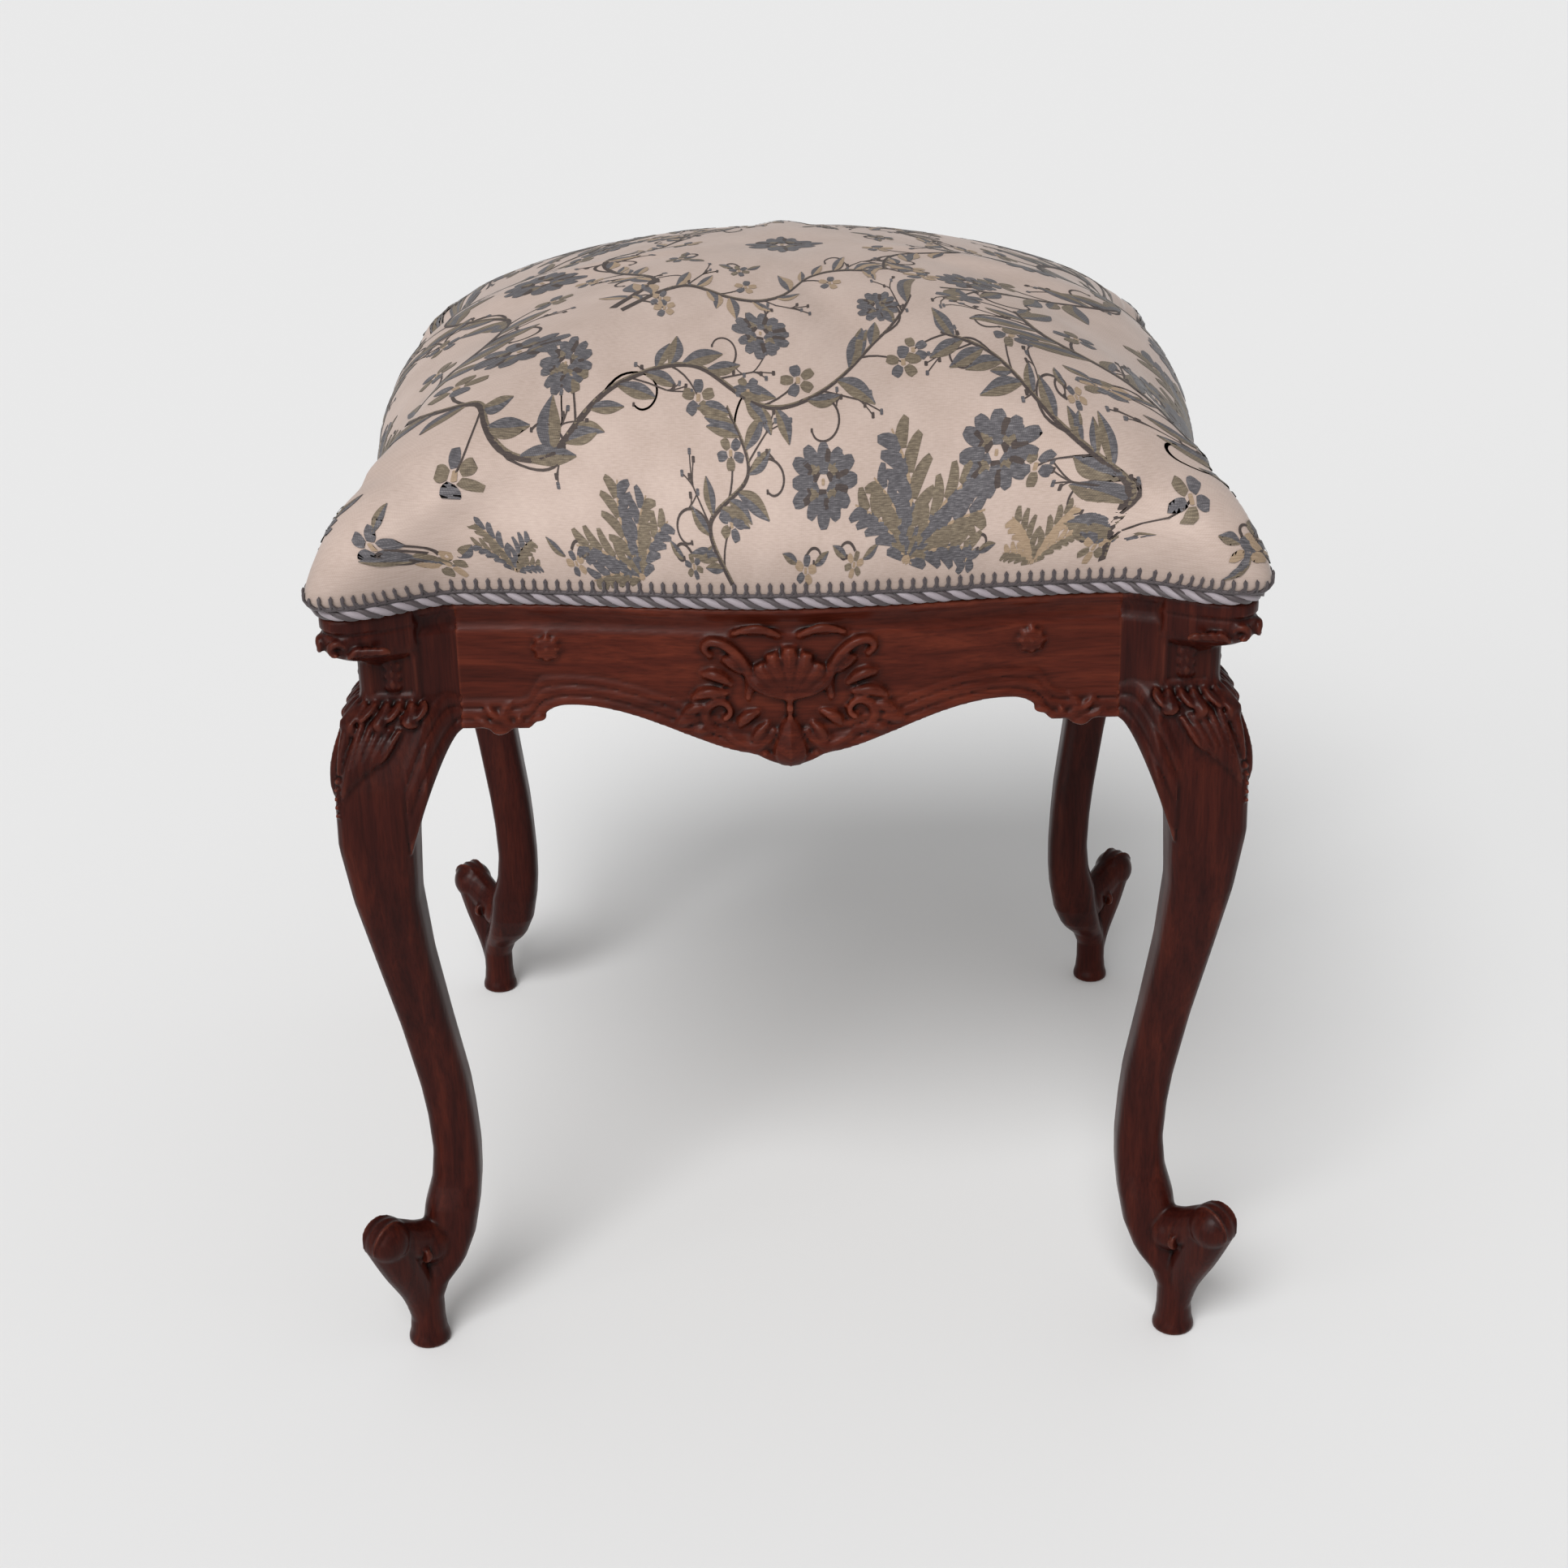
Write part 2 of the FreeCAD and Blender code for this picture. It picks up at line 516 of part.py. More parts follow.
def makeCornerBlock(turn, corner):
    body = doc.addObject("PartDesign::Body", "corner_block_" + corner)
    body.Label = "corner_block_" + corner
    plan = body.newObject("Sketcher::SketchObject", "BlockPlan%d" % turn)
    plan.AttachmentSupport = [(originPlane(body, "XY_Plane"), "")]
    plan.MapMode = "FlatFace"
    reach = postInner - size("block_length")
    outline = [(railInner, postInner), (railInner, reach), (reach, railInner), (postInner, railInner),
               (postInner, postInner)]
    for index, start in enumerate(outline):
        end = outline[(index + 1) % len(outline)]
        plan.addGeometry(Part.LineSegment(Vector(start[0], start[1], 0), Vector(end[0], end[1], 0)))
    for index in range(len(outline)):
        plan.addConstraint(Sketcher.Constraint("Coincident", index, 2, (index + 1) % len(outline), 1))
    inner = "Sizes.leg_spacing / 2 - Sizes.post_inset"
    rail = "Sizes.leg_spacing / 2 + Sizes.notch_reach - Sizes.rail_thickness"
    end = inner + " - Sizes.block_length"
    places = [(rail, inner), (rail, end), (end, rail), (inner, rail), (inner, inner)]
    for index, (placeX, placeY) in enumerate(places):
        for kind, expression, value in (("DistanceX", placeX, outline[index][0]),
                                        ("DistanceY", placeY, outline[index][1])):
            number = plan.addConstraint(Sketcher.Constraint(kind, -1, 1, index, 1, value))
            plan.setExpression("Constraints[%d]" % number, expression)
    pad = body.newObject("PartDesign::Pad", "BlockPad%d" % turn)
    pad.Profile = plan
    plan.AttachmentOffset = Placement(Vector(0, 0, size("block_bottom")), Rotation())
    plan.setExpression("AttachmentOffset.Base.z", "Sizes.block_bottom")
    pad.setExpression("Length", "Sizes.block_height")
    doc.recompute()
    for role in ("YZ_Plane", "XZ_Plane"):
        for radius, depth in (("screw_radius", rail), ("screw_head_radius", rail + " - Sizes.screw_seat")):
            before = body.Shape.Volume
            hole = body.newObject("Sketcher::SketchObject", "Hole%s%s%d" % (role[:2], radius[6:], turn))
            hole.AttachmentSupport = [(originPlane(body, role), "")]
            hole.MapMode = "FlatFace"
            middle = size("block_bottom") + size("block_height") / 2
            centre = Vector(postInner - size("screw_place"), middle, 0)
            hole.addGeometry(Part.Circle(centre, Vector(0, 0, 1), size(radius)))
            across = hole.addConstraint(Sketcher.Constraint("DistanceX", -1, 1, 0, 3, centre.x))
            up = hole.addConstraint(Sketcher.Constraint("DistanceY", -1, 1, 0, 3, centre.y))
            wide = hole.addConstraint(Sketcher.Constraint("Radius", 0, size(radius)))
            hole.setExpression("Constraints[%d]" % across, inner + " - Sizes.screw_place")
            hole.setExpression("Constraints[%d]" % up, "Sizes.block_bottom + Sizes.block_height / 2")
            hole.setExpression("Constraints[%d]" % wide, "Sizes." + radius)
            pocket = body.newObject("PartDesign::Pocket", "Pocket%s%s%d" % (role[:2], radius[6:], turn))
            pocket.Profile = hole
            pocket.Reversed = role == "YZ_Plane"
            pocket.setExpression("Length", depth)
            doc.recompute()
            if not body.Shape.Volume < before:
                raise RuntimeError("a screw hole of the corner block cuts nothing")
    body.Placement = quarterTurn(turn)
    pieces.append(body)


def makeBlockScrews():
    screws = []
    height = size("block_bottom") + size("block_height") / 2
    for turn in range(4):
        for along in ("x", "y"):
            screw = doc.addObject("Part::MultiFuse", "block_screw_%s%d" % (along, turn))
            shank = doc.addObject("Part::Cylinder", "screw_shank_%s%d" % (along, turn))
            shank.setExpression("Radius", "Sizes.screw_radius")
            shank.setExpression("Height", "Sizes.screw_length")
            head = doc.addObject("Part::Cylinder", "screw_head_%s%d" % (along, turn))
            head.setExpression("Radius", "Sizes.screw_head_radius")
            head.setExpression("Height", "Sizes.screw_head_height")
            head.setExpression("Placement.Base.z", "-Sizes.screw_head_height")
            screw.Shapes = [shank, head]
            seat = Vector(railInner - size("screw_seat"), postInner - size("screw_place"), height)
            direction = Vector(1, 0, 0)
            if along == "y":
                seat = Vector(seat.y, seat.x, height)
                direction = Vector(0, 1, 0)
            lying = Rotation(Vector(0, 0, 1), direction)
            screw.Placement = quarterTurn(turn).multiply(Placement(seat, lying))
            screws.append(screw)
    addGroup("corner_block_screws", screws)


for turn, corner in enumerate(corners):
    makeCornerBlock(turn, corner)
makeJointPegs()
makeBlockScrews()


# Webbing: straps woven over and under each other, their ends tacked to the rails
def strapShape(index):
    thickness = size("strap_thickness")
    half = size("strap_width") / 2
    centreline = [(-strapEnd, 0), (-railInner, 0)]
    for number, place in enumerate(strapPlaces):
        level = thickness if (number + index) % 2 else 0
        centreline += [(place - half, level), (place + half, level)]
    centreline += [(railInner, 0), (strapEnd, 0)]
    lower = [Vector(place, 0, tackingTop + level) for place, level in centreline]
    upper = [Vector(point.x, 0, point.z + thickness) for point in reversed(lower)]
    strap = Part.Face(Part.makePolygon(lower + upper + lower[:1])).extrude(Vector(0, size("strap_width"), 0))
    strap.translate(Vector(0, strapPlaces[index] - half, 0))
    return strap


allWebbingTacks = [turned(tack, turn) for turn in range(4) for tack in sideWebbingTacks]
for index in range(strapCount):
    addPiece("webbing_across_%d" % (index + 1), strapShape(index).cut(allWebbingTacks))
    lengthwise = strapShape(index)
    lengthwise.rotate(Vector(0, 0, 0), Vector(0, 0, 1), 90)
    addPiece("webbing_along_%d" % (strapCount - index), lengthwise.cut(allWebbingTacks))
addPiece("webbing_tacks", Part.makeCompound(allWebbingTacks))
addPiece("base_hessian", prismOf(showWire(size("hessian_margin"), hessianBottom), size("hessian_thickness")))


# Seat: every layer is the space between a larger and a smaller copy of one crowned form
coverFoot = showTop + size("cover_foot")
rimTop = coverFoot + size("rim_height")
seatLevels = [0.12, 0.165, 0.23, 0.32, 0.42, 0.53, 0.65, 0.76, 0.86, 0.94, 0.985]
seatEar = showHalf + size("seat_swell")
seatSide = notchHalf + size("rail_bulge") + size("seat_overhang")
notchDraw = 1
earFullness = 1.8
sideFullness = 2.8
cornerGrowth = 0.79
cornerPower = 1.8
earFadeLevel = 0.65
earFadePower = 1.6
rimBlend = 0.34
sameHeight = 0.01


def seatPlan(level, depth):
    across = (seatEar - depth) / seatEar
    up = (size("seat_rise") - depth) / size("seat_rise")
    half = seatEar * math.sqrt(1 - level ** earFullness)
    middle = seatSide * math.sqrt(1 - level ** sideFullness)
    fade = max(0, 1 - (level / earFadeLevel) ** 2) ** earFadePower
    notch = half - (showHalf - notchHalf + notchDraw) * fade
    radius = half * (size("corner_radius") / showHalf + cornerGrowth * level ** cornerPower)
    return [half * across, notch * across, middle * across, radius * across,
            coverFoot + level * size("seat_rise") * up]


def seatPlanAt(z, depth):
    up = (size("seat_rise") - depth) / size("seat_rise")
    return seatPlan((z - coverFoot) / (size("seat_rise") * up), depth)


def surfaceThrough(rows):
    around = runLengths(rows[0])
    upward = runLengths([row[0] for row in rows])
    rowCurves = [curveThrough(row, around) for row in rows]
    poleColumns = zip(*[curve.getPoles() for curve in rowCurves])
    columnCurves = [curveThrough(list(poles), upward) for poles in poleColumns]
    surface = Part.BSplineSurface()
    surface.buildFromPolesMultsKnots([curve.getPoles() for curve in columnCurves],
                                     rowCurves[0].getMultiplicities(), columnCurves[0].getMultiplicities(),
                                     rowCurves[0].getKnots(), columnCurves[0].getKnots(),
                                     False, False, rowCurves[0].Degree, columnCurves[0].Degree)
    return surface


def liesAt(z, shape):
    return max(abs(shape.BoundBox.ZMin - z), abs(shape.BoundBox.ZMax - z)) < sameHeight


def domeFaces(firstPlan, depth):
    start = firstPlan[-1] + rimBlend * size("rim_height")
    plans = [seatPlan(level, depth) for level in seatLevels]
    rows = [planQuadrant(*plan) for plan in [firstPlan] + [plan for plan in plans if plan[-1] > start]]
    quadrant = surfaceThrough(rows).toShape()
    faces = [turned(quadrant, turn) for turn in range(4)]
    crown = [edge for face in faces for edge in face.Edges if liesAt(rows[-1][0].z, edge)]
    return faces + [Part.Face(Part.Wire(Part.sortEdges(crown)[0]))]


def closedSolid(faces):
    shell = Part.makeShell(faces)
    shell.sewShape()
    solid = Part.makeSolid(shell)
    if solid.Volume < 0:
        solid.reverse()
    return solid


def annulus(outer, inner):
    return Part.makeFace([outer, inner], "Part::FaceMakerBullseye")


def stuffingLayer(outerDepth, innerDepth):
    outer = seatPlanAt(hessianTop, outerDepth)
    inner = seatPlanAt(hessianTop, innerDepth)
    return closedSolid(domeFaces(outer, outerDepth) + domeFaces(inner, innerDepth)
                       + [annulus(planWire(*outer), planWire(*inner))])


def clothLayer(outerDepth, innerDepth, tacks):
    outer = coverInset + outerDepth
    inner = coverInset + innerDepth
    foot = annulus(showWire(outer, coverFoot), showWire(inner, coverFoot))
    rim = foot.extrude(Vector(0, 0, size("rim_height")))
    rimFaces = [face for face in rim.cut(tacks).Faces if not liesAt(rimTop, face)]
    return closedSolid(rimFaces + domeFaces(showPlan(outer, rimTop), outerDepth)
                       + domeFaces(showPlan(inner, rimTop), innerDepth))


allCoverTacks = [turned(tack, turn) for turn in range(4) for tack in sideCoverTacks]
liningDepth = size("cover_thickness")
liningInside = liningDepth + size("lining_thickness")
waddingDepth = liningInside + size("soft_clearance")
topStuffingDepth = waddingDepth + size("wadding_thickness")
scrimDepth = topStuffingDepth + size("top_stuffing_thickness")
firstStuffingDepth = scrimDepth + size("scrim_thickness")
stuffingFoot = seatPlanAt(hessianTop, firstStuffingDepth)
addPiece("first_stuffing", closedSolid(domeFaces(stuffingFoot, firstStuffingDepth)
                                       + [Part.Face(planWire(*stuffingFoot))]))
addPiece("scrim", stuffingLayer(scrimDepth, firstStuffingDepth))
addPiece("top_stuffing", stuffingLayer(topStuffingDepth, scrimDepth))
addPiece("cotton_wadding", stuffingLayer(waddingDepth, topStuffingDepth))
addPiece("calico_lining", clothLayer(liningDepth, liningInside, allCoverTacks))
addPiece("tapestry_cover", clothLayer(0, liningDepth, allCoverTacks))
addPiece("cover_tacks", Part.makeCompound(allCoverTacks))


# Trim: a twisted cord on the ledge, and a looped heading above it
def trimRing(innerInset, levels):
    outer = [showWire(inset, z) for z, inset in levels]
    inner = [showWire(innerInset, z) for z in (levels[0][0], levels[-1][0])]
    return closedSolid(Part.makeLoft(outer, False, True).Faces + Part.makeLoft(inner, False, True).Faces
                       + [annulus(outer[0], inner[0]), annulus(outer[-1], inner[-1])])


trimInset = coverInset - size("trim_clearance")
cordHeight = size("cord_size")
cordProud = trimInset - size("cord_depth")
cordShy = trimInset - size("cord_depth") / 2
cordLevels = [(showTop, cordShy), (showTop + cordHeight / 4, cordProud),
              (showTop + 3 * cordHeight / 4, cordProud), (showTop + cordHeight, cordShy)]
headingFoot = showTop + cordHeight
headingInset = trimInset - size("heading_thickness")
addPiece("twisted_cord_trim", trimRing(trimInset, cordLevels))
addPiece("looped_heading", trimRing(trimInset, [(headingFoot, headingInset),
                                                (headingFoot + size("heading_height"), headingInset)]))

doc.recompute()

for item in doc.Objects:
    if "Invalid" in item.State or "Error" in item.State:
        raise RuntimeError("object %s failed: %s" % (item.Name, item.State))
for piece in pieces:
    if piece.Shape.isNull() or not piece.Shape.isValid():
        raise RuntimeError("sub-part %s has no valid shape" % piece.Label)

os.makedirs("parts", exist_ok=True)
for piece in pieces:
    piece.Shape.exportStep("parts/%s.step" % piece.Label)
print("%d sub-parts written" % len(pieces))
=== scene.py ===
import math
import random

import bmesh
import bpy
from mathutils import Matrix, Vector
from mathutils.bvhtree import BVHTree


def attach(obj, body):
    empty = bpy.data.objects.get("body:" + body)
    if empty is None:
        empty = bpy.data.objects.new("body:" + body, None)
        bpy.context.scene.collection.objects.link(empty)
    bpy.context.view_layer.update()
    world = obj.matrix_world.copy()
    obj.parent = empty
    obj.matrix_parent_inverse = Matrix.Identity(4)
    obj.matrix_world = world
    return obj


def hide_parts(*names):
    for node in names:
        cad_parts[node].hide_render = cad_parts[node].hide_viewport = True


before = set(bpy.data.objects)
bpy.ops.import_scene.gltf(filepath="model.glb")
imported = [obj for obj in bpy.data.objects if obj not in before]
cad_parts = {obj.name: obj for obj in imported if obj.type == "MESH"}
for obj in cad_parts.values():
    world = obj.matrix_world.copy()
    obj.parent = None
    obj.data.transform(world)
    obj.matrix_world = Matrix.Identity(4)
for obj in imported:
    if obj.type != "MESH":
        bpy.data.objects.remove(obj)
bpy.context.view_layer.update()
mm = 0.001
print("frame loaded")

# Camera: solved from the four feet and the corners of the seat
view = {"place": (0.0, -1.2994, 0.7952), "pitch": 23.79, "yaw": 0.18, "roll": -1.1,
        "focalPixels": 3214.0, "framePixels": 1932.0, "sensor": 36.0}


def linkObject(name, data):
    made = bpy.data.objects.new(name, data)
    bpy.context.scene.collection.objects.link(made)
    return made


cameraData = bpy.data.cameras.new("photoCamera")
cameraData.sensor_width = view["sensor"]
cameraData.lens = view["focalPixels"] / view["framePixels"] * view["sensor"]
cameraData.dof.use_dof = False
camera = linkObject("photoCamera", cameraData)
turnOfView = (Matrix.Rotation(math.radians(view["yaw"]), 4, "Z")
              @ Matrix.Rotation(math.radians(90 - view["pitch"]), 4, "X")
              @ Matrix.Rotation(math.radians(view["roll"]), 4, "Z"))
camera.matrix_world = Matrix.Translation(view["place"]) @ turnOfView
bpy.context.scene.camera = camera


# Colours and nodes
def linear(hexColour):
    channels = [int(hexColour[index:index + 2], 16) / 255 for index in (1, 3, 5)]
    return [c / 12.92 if c <= 0.04045 else ((c + 0.055) / 1.055) ** 2.4 for c in channels] + [1.0]


def setInputs(material, node, inputs):
    for socket, value in inputs.items():
        if isinstance(value, bpy.types.NodeSocket):
            material.node_tree.links.new(value, node.inputs[socket])
        else:
            node.inputs[socket].default_value = value


# Adds a node with its settings and links and gives back one of its outputs
def addNode(material, kind, output, inputs, **settings):
    node = material.node_tree.nodes.new("ShaderNode" + kind)
    for name, value in settings.items():
        setattr(node, name, value)
    setInputs(material, node, inputs)
    return node.outputs[output]


def setStops(rampColour, stops):
    elements = rampColour.node.color_ramp.elements
    while len(elements) < len(stops):
        elements.new(0.5)
    for element, (place, colour) in zip(elements, stops):
        element.position = place
        element.color = linear(colour)
    return rampColour


def newMaterial(name):
    material = bpy.data.materials.new(name)
    material.use_nodes = True
    return material, material.node_tree.nodes["Principled BSDF"]


# Mahogany, sawn and carved, stained dark and French polished: red brown with long darker streaks,
# dirt and painted shade in the carving's hollows, rubbed edges and a clear satin film over it
def makeMahogany(name, along, tones):
    material, shader = newMaterial(name)
    grainWidth, streakLength, poreFineness, rubbedColour = 7.0, 14, 7, "#8a4a38"
    place = addNode(material, "TexCoord", "Object", {})
    stretch = [1 / (grainWidth * mm)] * 3
    stretch["XYZ".index(along)] /= streakLength
    run = addNode(material, "Mapping", "Vector", {"Vector": place, "Scale": stretch})
    streaks = addNode(material, "TexNoise", "Fac", {"Vector": run, "Scale": 1.0, "Detail": 6.0,
                                                    "Roughness": 0.6, "Distortion": 0.6})
    wood = setStops(addNode(material, "ValToRGB", "Color", {"Fac": streaks}), tones)
    poreStretch = [value * poreFineness for value in stretch]
    poreRun = addNode(material, "Mapping", "Vector", {"Vector": place, "Scale": poreStretch})
    pores = addNode(material, "TexNoise", "Fac", {"Vector": poreRun, "Scale": 1.0, "Detail": 3.0})
    poreShade = addNode(material, "MapRange", "Result", {"Value": pores, "From Min": 0.3, "From Max": 0.55,
                                                         "To Min": 0.72, "To Max": 1.0})
    porous = addNode(material, "Mix", 2, {"Factor": 1.0, 6: wood, 7: poreShade}, data_type="RGBA",
                     blend_type="MULTIPLY")
    # Pointiness darkens the carving's hollows: partly dark wax, mostly painted shade where the hollows lie in
    # shade
    bend = addNode(material, "NewGeometry", "Pointiness", {})
    hollowShade = addNode(material, "MapRange", "Result", {"Value": bend, "From Min": 0.45, "From Max": 0.5,
                                                      "To Min": 0.2, "To Max": 1.0})
    dirtAndShade = addNode(material, "Mix", 2, {"Factor": 1.0, 6: porous, 7: hollowShade}, data_type="RGBA",
                    blend_type="MULTIPLY")
    edge = addNode(material, "MapRange", "Result", {"Value": bend, "From Min": 0.52, "From Max": 0.62,
                                                    "To Min": 0.0, "To Max": 0.55})
    rubbed = addNode(material, "Mix", 2, {"Factor": edge, 6: dirtAndShade, 7: linear(rubbedColour)},
                     data_type="RGBA")
    patches = addNode(material, "TexNoise", "Fac", {"Vector": place, "Scale": 45.0, "Detail": 3.0})
    rough = addNode(material, "MapRange", "Result", {"Value": patches, "To Min": 0.22, "To Max": 0.42})
    height = addNode(material, "Math", "Value", {0: pores, 1: streaks}, operation="ADD")
    bump = addNode(material, "Bump", "Normal", {"Height": height, "Strength": 0.12, "Distance": 0.3 * mm})
    setInputs(material, shader, {"Base Color": rubbed, "Roughness": rough, "Normal": bump, "IOR": 1.5,
                                 "Specular IOR Level": 0.09, "Coat Weight": 0.03, "Coat Roughness": 0.22})
    return material


# Plain planed beech inside the frame: pale, matt, with short dark flecks
def makeBeech():
    material, shader = newMaterial("planedBeech")
    place = addNode(material, "TexCoord", "Object", {})
    run = addNode(material, "Mapping", "Vector", {"Vector": place, "Scale": (400, 60, 400)})
    grain = addNode(material, "TexNoise", "Fac", {"Vector": run, "Scale": 1.0, "Detail": 5.0})
    wood = setStops(addNode(material, "ValToRGB", "Color", {"Fac": grain}),
                    [(0.3, "#8a6844"), (0.7, "#b8946a")])
    bump = addNode(material, "Bump", "Normal", {"Height": grain, "Strength": 0.2, "Distance": 0.2 * mm})
    setInputs(material, shader, {"Base Color": wood, "Normal": bump, "Roughness": 0.65})
    return material


# Steel, drawn and headed: dark blued for tacks, bright grey for screws, with soft rubbed patches
def makeSteel(name, dark, light):
    material, shader = newMaterial(name)
    place = addNode(material, "TexCoord", "Object", {})
    wear = addNode(material, "TexNoise", "Fac", {"Vector": place, "Scale": 700.0, "Detail": 4.0})
    steel = setStops(addNode(material, "ValToRGB", "Color", {"Fac": wear}), [(0.35, dark), (0.7, light)])
    rough = addNode(material, "MapRange", "Result", {"Value": wear, "To Min": 0.3, "To Max": 0.6})
    setInputs(material, shader, {"Base Color": steel, "Roughness": rough, "Metallic": 1.0})
    return material


# The scale at which a wave texture repeats once in a distance
def waveScale(distance):
    return math.pi / distance / 10


# Cloth, felt or hair of one colour: threads that cross at a given spacing in mm, with fuzz over them
def makeCloth(name, dark, light, spacing, coarse):
    material, shader = newMaterial(name)
    place = addNode(material, "TexCoord", "Object", {})
    weft, warp = [addNode(material, "TexWave", "Fac", {"Vector": place, "Scale": waveScale(spacing * mm),
                                                       "Distortion": 1.0, "Detail": 2.0, "Detail Scale": 2.0},
                          bands_direction=direction) for direction in "XY"]
    grid = addNode(material, "Math", "Value", {0: weft, 1: warp}, operation="MULTIPLY")
    fuzz = addNode(material, "TexNoise", "Fac", {"Vector": place, "Scale": coarse, "Detail": 5.0})
    both = addNode(material, "Math", "Value", {0: grid, 1: fuzz}, operation="ADD")
    dyed = setStops(addNode(material, "ValToRGB", "Color", {"Fac": both}), [(0.3, dark), (1.0, light)])
    bump = addNode(material, "Bump", "Normal", {"Height": both, "Strength": 0.5, "Distance": 0.4 * mm})
    setInputs(material, shader, {"Base Color": dyed, "Normal": bump, "Roughness": 0.9, "Sheen Weight": 0.2})
    return material


# Jacquard cloth in mercerised cotton: a ribbed satin ground with a faint sheen, darker along the hem
# with handling dirt and painted shade under the trim, and figures woven in darker weft. Its threads are drawn
# 0.9 mm apart so that they show
def makeJacquard(name, stops, streaky, sheen):
    material, shader = newMaterial(name)
    threadSpacing, hemShadeFrom, hemShadeTo, hemShadeFactor = 0.9, 0.232, 0.264, 0.68
    flat = addNode(material, "UVMap", "UV", {}, uv_map="cloth")
    weft, warp = [addNode(material, "TexWave", "Fac", {"Vector": flat, "Scale": waveScale(threadSpacing * mm),
                                                       "Distortion": 0.6, "Detail": 2.0},
                          bands_direction=direction) for direction in "YX"]
    grid = addNode(material, "Math", "Value", {0: weft, 1: warp}, operation="MULTIPLY")
    slubRun = addNode(material, "Mapping", "Vector", {"Vector": flat, "Scale": (260, 1500, 1)})
    slubs = addNode(material, "TexNoise", "Fac", {"Vector": slubRun, "Scale": 1.0, "Detail": 3.0})
    cloudRun = addNode(material, "Mapping", "Vector", {"Vector": flat, "Scale": (30, 30, 1)})
    clouds = addNode(material, "TexNoise", "Fac", {"Vector": cloudRun, "Scale": 1.0, "Detail": 4.0})
    mixed = addNode(material, "Mix", 0, {"Factor": streaky, 2: clouds, 3: slubs})
    tone = addNode(material, "Math", "Value", {0: grid, 1: 0.12, 2: mixed}, operation="MULTIPLY_ADD")
    woven = setStops(addNode(material, "ValToRGB", "Color", {"Fac": tone}), stops)
    # Ground and figures are painted darker towards the hem: handling dirt, and painted shade under the trim
    sides = addNode(material, "SeparateXYZ", "X", {"Vector": flat}).node.outputs
    across, along = [addNode(material, "Math", "Value", {0: sides[axis]}, operation="ABSOLUTE")
                     for axis in "XY"]
    edge = addNode(material, "Math", "Value", {0: across, 1: along}, operation="MAXIMUM")
    hemDirtAndShade = addNode(material, "MapRange", "Result", {"Value": edge, "From Min": hemShadeFrom,
                                                       "From Max": hemShadeTo, "To Min": 1.0,
                                                       "To Max": hemShadeFactor})
    dyed = addNode(material, "Mix", 2, {"Factor": 1.0, 6: woven, 7: hemDirtAndShade}, data_type="RGBA",
                   blend_type="MULTIPLY")
    bump = addNode(material, "Bump", "Normal", {"Height": tone, "Strength": 0.25, "Distance": 0.35 * mm})
    setInputs(material, shader, {"Base Color": dyed, "Normal": bump, "Roughness": 0.72, "Sheen Weight": sheen,
                                 "Sheen Roughness": 0.4, "Specular IOR Level": 0.25})
    return material


# Rayon cord: grey lilac strands with a silky sheen, painted lighter on the crests where the fibres bulge and
# darker in the hollows, as painted highlight and shade
def makeCordThread(name, dark, light, sheen):
    material, shader = newMaterial(name)
    place = addNode(material, "TexCoord", "Object", {})
    fibres = addNode(material, "TexNoise", "Fac", {"Vector": place, "Scale": 900.0, "Detail": 4.0})
    bend = addNode(material, "NewGeometry", "Pointiness", {})
    # Pointiness lightens the strands' crests and darkens their hollows: painted highlight and painted shade
    paintedCrestLight = addNode(material, "MapRange", "Result", {"Value": bend, "From Min": 0.45, "From Max": 0.6})
    tone = addNode(material, "Math", "Value", {0: fibres, 1: 0.5, 2: paintedCrestLight}, operation="MULTIPLY_ADD")
    dyed = setStops(addNode(material, "ValToRGB", "Color", {"Fac": tone}), [(0.3, dark), (0.85, light)])
    bump = addNode(material, "Bump", "Normal", {"Height": fibres, "Strength": 0.4, "Distance": 0.2 * mm})
    setInputs(material, shader, {"Base Color": dyed, "Normal": bump, "Roughness": 0.55,
                                 "Sheen Weight": sheen})
    return material


boardTones = [(0.25, "#35120b"), (0.5, "#481b11"), (0.78, "#5f2819")]
# The legs' tones are darker than the boards': partly the wood's own variation, partly painted shade on the
# legs
shadedLegTones = [(0.25, "#230a08"), (0.5, "#33110c"), (0.78, "#481c12")]
mahogany = {along: makeMahogany("polishedMahogany" + along, along, shadedLegTones if along == "Z" else boardTones)
            for along in "XYZ"}
beech = makeBeech()
bluedSteel = makeSteel("bluedCutSteel", "#1b1e24", "#3a3f47")
screwSteel = makeSteel("drawnSteel", "#6d6a66", "#a6a29c")
juteWebbing = makeCloth("wovenJute", "#5d472b", "#9a7d51", 3.0, 250.0)
hessian = makeCloth("openHessian", "#6b5433", "#a98c60", 2.0, 400.0)
curledHair = makeCloth("curledHair", "#1d1712", "#4b3d31", 6.0, 180.0)
feltedCotton = makeCloth("feltedCotton", "#bdb6a6", "#e0dacb", 9.0, 120.0)
calico = makeCloth("unbleachedCalico", "#b3a68b", "#d6ccb4", 0.9, 500.0)
ground = makeJacquard("jacquardGround", [(0.25, "#a39084"), (0.55, "#b5a298"), (0.85, "#c3b1a6")], 0.5, 0.25)
slateTones = [(0.3, "#3a383b"), (0.55, "#575457"), (0.8, "#827e80")]
oliveTones = [(0.3, "#4b4239"), (0.55, "#6d6152"), (0.8, "#90836f")]
figureColours = {
    "line": makeJacquard("jacquardLine", [(0.3, "#332c2d"), (0.8, "#574c46")], 0.7, 0.1),
    "slate": makeJacquard("jacquardSlate", slateTones, 0.8, 0.15),
    "olive": makeJacquard("jacquardOlive", oliveTones, 0.8, 0.15),
    "ochre": makeJacquard("jacquardOchre", [(0.3, "#84705a"), (0.8, "#a8917a")], 0.8, 0.2)}
